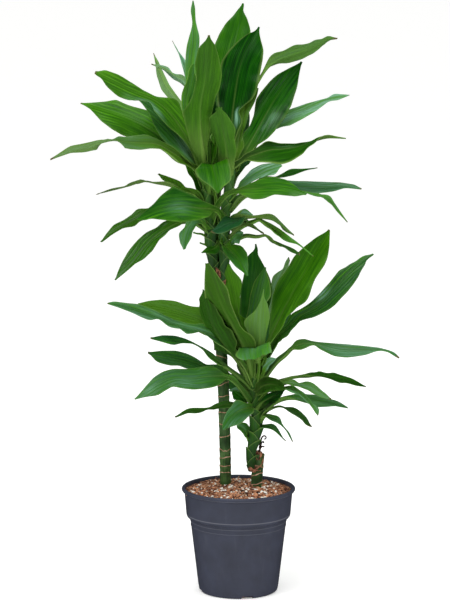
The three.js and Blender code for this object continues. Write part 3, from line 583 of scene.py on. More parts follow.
# Young bark is smooth, dark green and faintly waxy, with fine lengthwise lines a millimetre or two
# apart and cloudy, paler patches about 2 cm across.
green_bark, tree = new_material("young_green_bark")
place = add_node(tree, "ShaderNodeTexCoord").outputs["Object"]
drawn_out = add_node(tree, "ShaderNodeMapping",
                     {"Vector": place, "Scale": (1 / 0.0016, 1 / 0.0016, 1 / 0.04)})
lines = add_node(tree, "ShaderNodeTexNoise", {"Vector": drawn_out, "Scale": 1.0, "Detail": 3.0})
patch = add_node(tree, "ShaderNodeTexNoise", {"Vector": place, "Scale": 1 / 0.022, "Detail": 4.0})
both = add_node(tree, "ShaderNodeMath", {0: lines, 1: 0.4, 2: patch}, operation="MULTIPLY_ADD")
green = add_node(tree, "ShaderNodeValToRGB", {"Fac": both})
set_stops(green, (0.5, "#1d3c16"), (0.68, "#2f5421"), (0.85, "#4c7034"))
shine = add_node(tree, "ShaderNodeMapRange", {"Value": patch, "To Min": 0.36, "To Max": 0.56})
ridges = add_node(tree, "ShaderNodeBump", {"Height": lines, "Strength": 0.4, "Distance": 0.0004})
shader = add_node(tree, "ShaderNodeBsdfPrincipled",
                  {"Base Color": green, "Roughness": shine, "Normal": ridges})
add_node(tree, "ShaderNodeOutputMaterial", {"Surface": shader})
# The cork that closed each leaf scar is dry, matt and pale.
scar_cork = grain_material("corky_leaf_scar", "#a5745a", "#dcb096", 0.85)

CANE_RADIUS, ROOTED_DEPTH = 10.8, 62.0
TALL_CANE = [[-24, 190, 32], [-24.5, 250, 32], [-26, 320, 32], [-28, 385, 32], [-31, 440, 32],
             [-33, 500, 31], [-36, 590, 30]]
TALL_SCARS = [[217, 1.6, 230, 1.5], [230, 0.8, 20, 0], [245, 2.2, 330, 0], [261, 0.6, 270, 3.5],
              [286.5, 2.4, 20, 0], [308, 2.6, 160, 1.0], [331, 0.7, 270, 0], [362, 2.2, 350, 0],
              [384, 5.0, 345, 0], [408, 1.5, 200, 0], [436, 3.5, 190, 0], [468, 1.4, 10, 2.0],
              [500, 2.0, 120, 0], [534, 1.6, 300, 1.5], [566, 1.5, 40, 0]]
cane_piece("tall_cane_stem", TALL_CANE, CANE_RADIUS, TALL_SCARS, ROOTED_DEPTH, 589.0, "tall_cane",
           green_bark)
scar_piece("tall_cane_scars", TALL_CANE, CANE_RADIUS, TALL_SCARS, scar_cork)


# ---- leaves ----
# A leaf is a strap of thin green tissue: its base clasps the shoot, narrows to a channelled stalk
# and opens into a long blade with a sunken midrib, parallel veins and gently waved edges.
ROW_STEP, COLUMN_STEP = 4.5, 2.1  # how finely a blade is divided along and across it
EDGE_WAVES = ((58, 0.75), (31, 0.45))  # each wave's length, and its share of their height
FOLD_PITCH, MIDRIB_SINK = 7.5, 0.7
STALK_THICK, BLADE_THICK, MIDRIB_THICK = 3.0, 0.8, 1.1


def unit(vectors):
    """The vectors, each with a length of 1."""
    return vectors / np.linalg.norm(vectors, axis=-1, keepdims=True)


def ease(x, low, high):
    """A smooth rise from 0 at low to 1 at high."""
    u = np.clip((x - low) / (high - low), 0, 1)
    return u * u * (3 - 2 * u)


def leaf_half(s, width, stalk, widest):
    """Half the leaf's width at s, from 0 at the foot to 1 at the tip."""
    neck = min(0.06 * width + 0.4, 3.2)
    foot = neck * (2.1 - 1.1 * s / stalk)
    u = np.clip((s - stalk) / (1 - stalk), 0, 1)
    swell = neck + (width / 2 - neck) * np.sin(math.pi / 2 * np.clip(u / widest, 0, 1)) ** 1.3
    point = width / 2 * np.cos(math.pi / 2 * np.clip((u - widest) / (1 - widest), 0, 1)) ** 0.85
    return np.where(s < stalk, foot, np.where(u < widest, swell, point))


def seen_from_front(places, ways):
    """Places as they are seen from the front, and how far each way moves them there."""
    k = (1 - places[:, 1] / EYE[1])[:, None]
    seen = EYE[[0, 2]] + (places[:, [0, 2]] - EYE[[0, 2]]) / k
    moves = (ways[..., [0, 2]] + (seen - EYE[[0, 2]]) * ways[..., 1:2] / EYE[1]) / k
    return seen, moves


def rim_widths(rims, places, ways, most):
    """How wide a half blade is that reaches the outlines in rims, out along each way."""
    widths = np.full(len(places), np.nan)
    for rim in rims:
        rim = np.asarray(rim, float)
        legs = np.diff(rim, axis=0)
        for i, (place, way) in enumerate(zip(places, ways)):
            gap, turn = rim[:-1] - place, way[0] * legs[:, 1] - way[1] * legs[:, 0]
            turn = np.where(np.abs(turn) < 1e-9, 1e-9, turn)
            out = (gap[:, 0] * legs[:, 1] - gap[:, 1] * legs[:, 0]) / turn
            along = (gap[:, 0] * way[1] - gap[:, 1] * way[0]) / turn
            out = out[(along >= 0) & (along <= 1) & (out > 0) & (out < most)]
            if len(out) and np.hypot(*way) > 0.25 and not widths[i] > out.max():
                widths[i] = out.max()
    return widths


def fitted_half(half, rims, places, ways, width):
    """The half blade's width in each row, brought out or in to the outlines where they are given."""
    fitted = rim_widths(rims, places, ways, 0.9 * width)
    known = np.flatnonzero(fitted > 0)
    if not len(known):
        return half
    rows = np.arange(len(half))
    near = np.clip(1 - np.maximum(known[0] - rows, rows - known[-1]) / 5, 0, 1)
    wide = np.maximum(np.interp(rows, known, fitted[known]) * near + half * (1 - near), 0.5)
    wide[1:-1] = np.convolve(wide, (0.25, 0.5, 0.25), mode="valid")
    return np.minimum(wide, 1.2 * width)


def leaf_frame(path, depth, faces_turned):
    """A leaf's midrib in space, its length, and the ways along it, across it and up from it."""
    back, reach = depth
    path = np.asarray(path, float)
    run = np.concatenate([[0], np.cumsum(np.hypot(*np.diff(path, axis=0).T))])
    spine = lift(np.column_stack([path, back + reach * run / run[-1]]))
    length = np.linalg.norm(np.diff(smooth_line(spine, 60), axis=0), axis=1).sum()
    count = int(np.clip(length / ROW_STEP, 20, 72))
    spine = smooth_line(spine, count)
    along = unit(np.gradient(spine, axis=0))
    flat = unit(np.cross(along, unit(EYE - spine)))
    facing = np.cross(flat, along)
    hand = 1 if spine[-1, 0] < spine[0, 0] else -1
    turn = np.radians(faces_turned)[:, None]
    keys = np.linspace(0, count - 1, len(faces_turned)).round().astype(int)
    given = -flat[keys] * np.cos(turn) + facing[keys] * np.sin(turn) * hand
    across = np.column_stack([np.interp(np.arange(count), keys, given[:, k]) for k in range(3)])
    across = unit(across - along * (across * along).sum(1, keepdims=True))
    return spine, length, along, across, np.cross(along, across)


def blade_faces(n, m):
    """Faces of a closed blade: an upper grid of n by m points, and the same grid below it."""
    index = np.arange(n * m).reshape(n, m)
    below = index + n * m
    blocks = [(index[:-1, :-1], index[1:, :-1], index[1:, 1:], index[:-1, 1:]),
              (below[:-1, 1:], below[1:, 1:], below[1:, :-1], below[:-1, :-1])]
    for j, order in ((m - 1, 1), (0, -1)):
        blocks.append((index[:-1, j], index[1:, j], below[1:, j], below[:-1, j])[::order])
    for i, order in ((n - 1, 1), (0, -1)):
        blocks.append((index[i, :-1], below[i, :-1], below[i, 1:], index[i, 1:])[::order])
    return np.vstack([np.stack(block, -1).reshape(-1, 4) for block in blocks])


def carry(mesh, tone_shade_and_sheen, wear, lamina):
    """Keeps on the mesh what the finish follows: the tone with its painted shade and painted sheen, the
    wear and the lamina map.
    """
    for name, values in (("tone_shade_and_sheen", tone_shade_and_sheen), ("wear", wear)):
        mesh.attributes.new(name, "FLOAT_VECTOR", "POINT").data.foreach_set("vector", values.ravel())
    corners = np.array([loop.vertex_index for loop in mesh.loops])
    mesh.uv_layers.new(name="lamina").data.foreach_set("uv", lamina[corners].ravel())
    return mesh


def leaf_mesh(form, faces_turned, depth, look, path, rims, seed, cut=1.0, ribs=0.0, curl=(),
              ragged=0.0, sheath=0.2, wax=(), margin=0.3):
    """One leaf as a closed blade, laid out as it is seen from the front.

    form is (full width, share of the length that is stalk, where along the blade it is widest,
    height of the edge's waves); faces_turned says which way it faces from foot to tip, in degrees;
    depth is (how far back its foot is, how much further its tip); look is (darkness, hue from olive
    to teal, painted sheen that takes off the shine below zero, dryness of the tip, pallor beneath); path is
    its midrib and rims are its outlines.
    cut is the share that is left of a cut tip, and ragged is the cut's tear; ribs is the height of
    its folds; curl is (side, from, to, degrees) for each edge that rolls in; sheath and margin are
    how pale its stalk and its edges are; wax is (along, across, size, amount) for each patch of painted
    highlight.
    """
    width, stalk, widest, wave = form
    chance = np.random.default_rng(seed)
    spine, length, along, across, up = leaf_frame(path, depth, faces_turned)
    s = np.linspace(0, 1, len(spine))
    half = np.maximum(leaf_half(s * cut, width, stalk, widest), 0.5)
    opened = ease(s, stalk, stalk + 0.35)[:, None]  # 0 along the stalk, 1 where the blade is open

    # the section: how each half blade slopes, rolls and ripples from the midrib to its edge
    columns = int(np.clip(width / COLUMN_STEP, 5, 15))
    t = (np.arange(columns) + 1) / columns
    halves = []
    for side in (-1, 1):
        slope = (27 + 28 * t) * (1 - opened) + (17 - 11 * t) * opened
        for rolled, start, stop, degrees in curl:
            if rolled == side:
                here = ease(s, start, start + 0.12) * (1 - ease(s, stop - 0.12, stop))
                slope = slope + degrees * here[:, None] * ease(t, 0.5, 1.0)
        slope = np.radians(slope)
        x, y = np.cumsum(np.cos(slope), 1) / columns, np.cumsum(np.sin(slope), 1) / columns
        most = np.maximum(x.max(1), 0.2)[:, None]
        x, y = x / most, y / most
        phase = chance.uniform(0, 2 * math.pi, 3)
        ripple = sum(share * np.sin(2 * math.pi * length / wave_length * s + start)
                     for (wave_length, share), start in zip(EDGE_WAVES, phase))
        ripple = (ripple * wave * np.clip((1 - s) / 0.1, 0, 1))[:, None] * opened
        out = across * (side * x[:, -1:]) + up * y[:, -1:]
        seen, moves = seen_from_front(spine, np.stack([out, up]))
        wide = fitted_half(half, rims, seen + moves[1] * ripple, moves[0], width)[:, None]
        x, y = x * wide, y * wide + ripple * t**1.7
        fold = np.cos(2 * math.pi * x / FOLD_PITCH + phase[2]) * (1 - t**4) * np.clip(x / 4, 0, 1)
        fold = ribs * fold * opened * np.clip((1 - s) / 0.15, 0, 1)[:, None]
        halves.append((side * x, y + fold, fold))
    zero = np.zeros((len(s), 1))
    x, y, fold = (np.hstack([low[:, ::-1], zero, high]) for low, high in zip(*halves))
    t = np.concatenate([-t[::-1], [0], t])
    s = s[:, None]
    y = y - MIDRIB_SINK * np.exp(-((x / 1.8) ** 2)) * (1 - s) ** 0.5

    # the blade's two faces, closed all round
    shift = np.zeros_like(x)
    if ragged:
        tear = np.convolve(chance.uniform(-1, 1, len(t) + 2), (0.3, 0.4, 0.3), mode="valid")
        shift = ragged * tear * ease(s, 0.8, 1.0)
    top = (spine[:, None] + across[:, None] * x[..., None] + up[:, None] * y[..., None]
           + along[:, None] * shift[..., None])
    normal = np.cross(np.gradient(top, axis=0), np.gradient(top, axis=1))
    normal = unit(normal + 1e-9 * up[:, None])
    foot = min(STALK_THICK, 0.4 * width)
    thick = (foot + (BLADE_THICK - foot) * opened) * (1 - 0.45 * t**2)
    thick = thick + MIDRIB_THICK * np.exp(-((x / 2.2) ** 2)) * (1 - s) ** 0.7
    under = top - normal * thick[..., None]
    verts = np.vstack([top.reshape(-1, 3), under.reshape(-1, 3)])
    mesh = solid_mesh("leaf", verts, blade_faces(*x.shape).tolist())

    # what the finish follows: darkness with painted shade, hue and painted sheen, then dryness, underside
    # and pallor
    dark, hue, sheen_and_gloss, dry, pallor = look
    grid = np.ones_like(x)
    drift = chance.uniform(-0.12, 0.12, 4)
    # painted shade: the tone is darker in the troughs of the folds and lighter on their crests
    tone_and_shade = dark + drift[0] * (s - 0.5) * 2 + drift[1] * t - 0.1 * (1 - opened) - 0.2 * fold
    smear = np.sin(2 * math.pi * (1.1 * s + 0.6 * t + drift[2] * 9)) * 0.5 + 0.5
    # painted sheen: pale bluish bands painted where the leaf's gloss would shine
    painted_sheen = sheen_and_gloss * (0.4 + 0.8 * smear) * opened
    # painted highlight: a soft pale patch painted where a shine lies on the leaf
    for ahead, aside, size, amount in wax:
        painted_sheen = painted_sheen + amount * np.exp(-(((s - ahead) / size) ** 2 + ((t - aside) / 0.4) ** 2))
    withered = ease(s, 1.0 - max(dry, 0.004), 1.0 - 0.4 * dry) * (dry > 0) * grid
    rib = np.exp(-((x / 1.3) ** 2)) * (1 - ease(s, 0.2, 0.9))
    edge = margin * ease(np.abs(t), 0.86, 1.0)
    pale = np.clip(sheath * (1 - ease(s, stalk, stalk + 0.3)) + 0.4 * rib + edge, 0, 1)
    tone_shade_and_sheen = np.stack([tone_and_shade, hue * grid, painted_sheen], -1).reshape(-1, 3)
    wear = np.stack([withered, 0 * grid, pale], -1).reshape(-1, 3)
    lamina = np.stack([x, s * length * grid], -1).reshape(-1, 2) / 10
    return carry(mesh, np.tile(tone_shade_and_sheen, (2, 1)), np.vstack([wear, wear + (0, pallor, 0)]),
                 np.tile(lamina, (2, 1)))


# The skin of the leaf is a smooth waxy cuticle over green tissue, so it is glossy and streaked
# along the veins. A pale bluish painted sheen stands in for its shine in places; stalks, midribs and
# margins are paler.
cuticle, tree = new_material("waxy_leaf_cuticle")
tone_shade_and_sheen = add_node(tree, "ShaderNodeAttribute", attribute_name="tone_shade_and_sheen").outputs["Vector"]
wear = add_node(tree, "ShaderNodeAttribute", attribute_name="wear").outputs["Vector"]
darkness_and_shade, hue, sheen_and_gloss = add_node(tree, "ShaderNodeSeparateXYZ", {0: tone_shade_and_sheen}).outputs
dryness, underside, pallor = add_node(tree, "ShaderNodeSeparateXYZ", {0: wear}).outputs
lamina = add_node(tree, "ShaderNodeUVMap", uv_map="lamina")  # centimetres
narrow = add_node(tree, "ShaderNodeMapping", {"Vector": lamina, "Scale": (3.0, 0.16, 1.0)})
streak = add_node(tree, "ShaderNodeTexNoise",
                  {"Vector": narrow, "Scale": 1.0, "Detail": 3.0, "Roughness": 0.6})
wide = add_node(tree, "ShaderNodeMapping", {"Vector": lamina, "Scale": (0.9, 0.12, 1.0)})
broad = add_node(tree, "ShaderNodeTexNoise", {"Vector": wide, "Scale": 1.0, "Detail": 1.0})
# veins lie 1.5 mm apart; drawn 3 mm apart, so that they show
over = add_node(tree, "ShaderNodeSeparateXYZ", {0: lamina})
turns = add_node(tree, "ShaderNodeMath", {0: over, 1: 2 * math.pi / 0.3}, operation="MULTIPLY")
vein = add_node(tree, "ShaderNodeMath", {0: turns}, operation="SINE")
# the tone carries the shade that is painted on the leaves and the stems
tone_and_shade = add_node(tree, "ShaderNodeMath", {0: darkness_and_shade, 1: 0.61}, operation="SUBTRACT")
for pattern, amount in ((streak, 0.75), (broad, 0.45), (vein, 0.05)):
    tone_and_shade = add_node(tree, "ShaderNodeMath", {0: pattern, 1: amount, 2: tone_and_shade},
                    operation="MULTIPLY_ADD")
green = add_node(tree, "ShaderNodeValToRGB", {"Fac": tone_and_shade})
set_stops(green, (0.0, "#4a8a10"), (0.25, "#2f6a07"), (0.5, "#1b5406"), (0.75, "#0a3c05"),
          (1.0, "#032404"))
olive = add_node(tree, "ShaderNodeMath", {0: hue, 1: -1.0}, operation="MULTIPLY", use_clamp=True)
# painted sheen: pale bluish-green streaks mixed into the colour as a painted highlight
painted_sheen = add_node(tree, "ShaderNodeMapRange", {"Value": streak, "From Min": 0.38, "From Max": 0.64,
                                              "To Min": 0.2, "To Max": 1.3})
painted_sheen = add_node(tree, "ShaderNodeMath", {0: sheen_and_gloss, 1: painted_sheen}, operation="MULTIPLY", use_clamp=True)
for factor, most, code in ((olive, 0.7, "#4a6419"), (hue, 0.7, "#0b452b"), (underside, 1.0, "#66893f"),
                           (pallor, 0.6, "#86a552"), (painted_sheen, 0.85, "#80b294"),
                           (dryness, 1.0, "#5d5530")):
    share = add_node(tree, "ShaderNodeMath", {0: factor, 1: most}, operation="MULTIPLY",
                     use_clamp=True)
    green = add_node(tree, "ShaderNodeMix", {"Factor": share, 6: green, 7: paint(code)},
                     data_type="RGBA")
dull = add_node(tree, "ShaderNodeMath", {0: streak, 1: 0.2, 2: 0.24}, operation="MULTIPLY_ADD")
dull = add_node(tree, "ShaderNodeMath", {0: dryness, 1: 0.4, 2: dull}, operation="MULTIPLY_ADD")
# a painted sheen below zero takes the shine off a leaf
gloss = add_node(tree, "ShaderNodeMapRange", {"Value": sheen_and_gloss, "From Min": -0.7, "From Max": 0.0,
                                              "To Min": 0.02, "To Max": 0.17})
relief = add_node(tree, "ShaderNodeMath", {0: vein, 1: 0.3, 2: streak}, operation="MULTIPLY_ADD")
veined = add_node(tree, "ShaderNodeBump", {"Height": relief, "Strength": 0.5, "Distance": 0.0004})
shader = add_node(tree, "ShaderNodeBsdfPrincipled",
                  {"Base Color": green, "Roughness": dull, "Specular IOR Level": gloss,
                   "Normal": veined})
add_node(tree, "ShaderNodeOutputMaterial", {"Surface": shader})


def grow_leaves(prefix, leaves, node, seed):
    """Every leaf of a shoot as its own piece, set on the shoot by its clasping foot."""
    for number, (name, *shape, extras) in enumerate(leaves):
        mesh = leaf_mesh(*shape, (seed, number), **extras)
        leaf = new_piece(prefix + name, mesh, cuticle, smooth=60)
        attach(leaf, "root")
        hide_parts(node)


# ---- left shoot of the tall cane ----
# A side shoot that broke from just under the cane's cut top. Its stem is wrapped in leaf bases, and
# its leaves stand out all round, the youngest upright in the middle and the oldest hanging.
def shell_faces(n, m):
    """Faces of a closed sleeve: an outer grid of n rings of m points, and the same grid inside it."""
    index = np.arange(n * m).reshape(n, m)
    inside = index + n * m
    ahead = np.roll(np.arange(m), -1)
    blocks = [(index[:-1], index[:-1][:, ahead], index[1:][:, ahead], index[1:]),
              (inside[:-1], inside[1:], inside[1:][:, ahead], inside[:-1][:, ahead]),
              (index[-1], index[-1][ahead], inside[-1][ahead], inside[-1]),
              (index[0], inside[0], inside[0][ahead], index[0][ahead])]
    return np.vstack([np.stack(block, -1).reshape(-1, 4) for block in blocks])


def sheathed_stem(name, rows, node, sheaths, seed, look):
    """A leafy shoot's stem: a slim core in overlapping leaf bases, each cut off at a slant.

    rows are [across, up, back, radius]; look is (darkness, hue, painted sheen), as for a leaf.
    """
    rows = np.asarray(rows, float)
    sides, count, steps, chance = 30, 60, 11, np.random.default_rng(seed)
    line = smooth_line(np.column_stack([lift(rows[:, :3]), rows[:, 3]]), 2 * count)
    s = np.linspace(0, 1, 2 * count)
    turn = np.linspace(0, 2 * math.pi, sides, endpoint=False)
    length = np.linalg.norm(np.diff(line[:, :3], axis=0), axis=1).sum()
    along = unit(np.gradient(line[:, :3], axis=0))
    right = unit(np.cross(along, (0, 1, 0)))
    back = np.cross(right, along)

    def ring(at, swell):
        """Places at shares of the stem, one share and one swell for each side."""
        flat = np.ravel(at)
        pick = [np.interp(flat, s, a[:, k]).reshape(np.shape(at)) for a in (line, right, back)
                for k in range(3)]
        radius = np.interp(flat, s, line[:, 3]).reshape(np.shape(at)) * swell
        middle, out, away = (np.stack(pick[i : i + 3], -1) for i in (0, 3, 6))
        return middle + radius[..., None] * (out * np.cos(turn)[:, None] + away * np.sin(turn)[:, None])

    shares = np.linspace(0, 1, count)[:, None] * np.ones(sides)
    core = ring(shares, 0.8 + 0 * shares).reshape(-1, 3)
    index = np.arange(len(core)).reshape(count, sides)
    ahead = np.roll(np.arange(sides), -1)
    wall = np.stack([index[:-1], index[:-1][:, ahead], index[1:][:, ahead], index[1:]], -1)
    faces = wall.reshape(-1, 4).tolist() + [index[0][::-1].tolist(), index[-1].tolist()]
    parts, foot = [(core, np.full(len(core), 0.0), np.full(len(core), 0.3))], len(core)
    for k in range(sheaths):
        start = 0.92 * k / sheaths
        reach = min(chance.uniform(1.9, 2.5) / sheaths, 1 - start)
        facing = math.radians(-90 + (65 if k % 2 else -65) + chance.uniform(-25, 25))
        crest = (0.5 + 0.5 * np.cos(turn - facing)) ** 1.2
        v = np.linspace(0, 1, steps)[:, None]
        at = start + v * reach * (0.3 + 0.7 * crest)
        swell = 0.86 + 0.1 * v + (0.06 + 0.2 * crest) * v**2
        rim = ease(v, 0.9, 1.0) * np.ones(sides)
        # painted shade: each sheath is darker towards its foot, where the sheath below covers it; its tone
        # also drifts at random
        tone_and_shade = 0.28 * (1 - v) ** 2 * np.ones(sides) + chance.uniform(-0.1, 0.1)
        verts = np.concatenate([ring(at, swell), ring(at, swell - 0.09)]).reshape(-1, 3)
        faces += (shell_faces(steps, sides) + foot).tolist()
        parts.append((verts, np.tile(rim.ravel(), 2), np.tile(tone_and_shade.ravel(), 2)))
        foot += len(verts)
    verts, edge, tone_and_shade = (np.concatenate(kept) for kept in zip(*parts))
    share = (verts[:, 2] - line[0, 2]) / (line[-1, 2] - line[0, 2])
    dark, hue, sheen_and_gloss = look
    grid = np.ones(len(verts))
    # the stem is darker towards its bottom
    tone_shade_and_sheen = np.column_stack([dark + 0.3 * (0.5 - share) + tone_and_shade, hue * grid, sheen_and_gloss * grid])
    wear = np.column_stack([0 * grid, 0 * grid, np.clip(0.15 * share + 0.75 * edge, 0, 1)])
    around = np.arctan2(verts[:, 1] - line[count, 1], verts[:, 0] - line[count, 0]) * 0.9
    mesh = carry(solid_mesh(name, verts, faces), tone_shade_and_sheen, wear,
                 np.column_stack([around, share * length / 10]))
    piece = new_piece(name, mesh, cuticle)
    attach(piece, "root")
    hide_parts(node)


LEFT_SHOOT = [[-40, 562, 28, 5], [-45, 585, 21, 8.6], [-46, 612, 18, 10], [-48, 640, 17, 11],
              [-51, 670, 17, 10.6], [-53, 700, 18, 9.6], [-58, 740, 19, 8], [-64, 780, 21, 6],
              [-67, 815, 24, 3]]
sheathed_stem("left_shoot_stem", LEFT_SHOOT, "tall_left_shoot", 16, 31, (0.6, -0.2, 0.08))
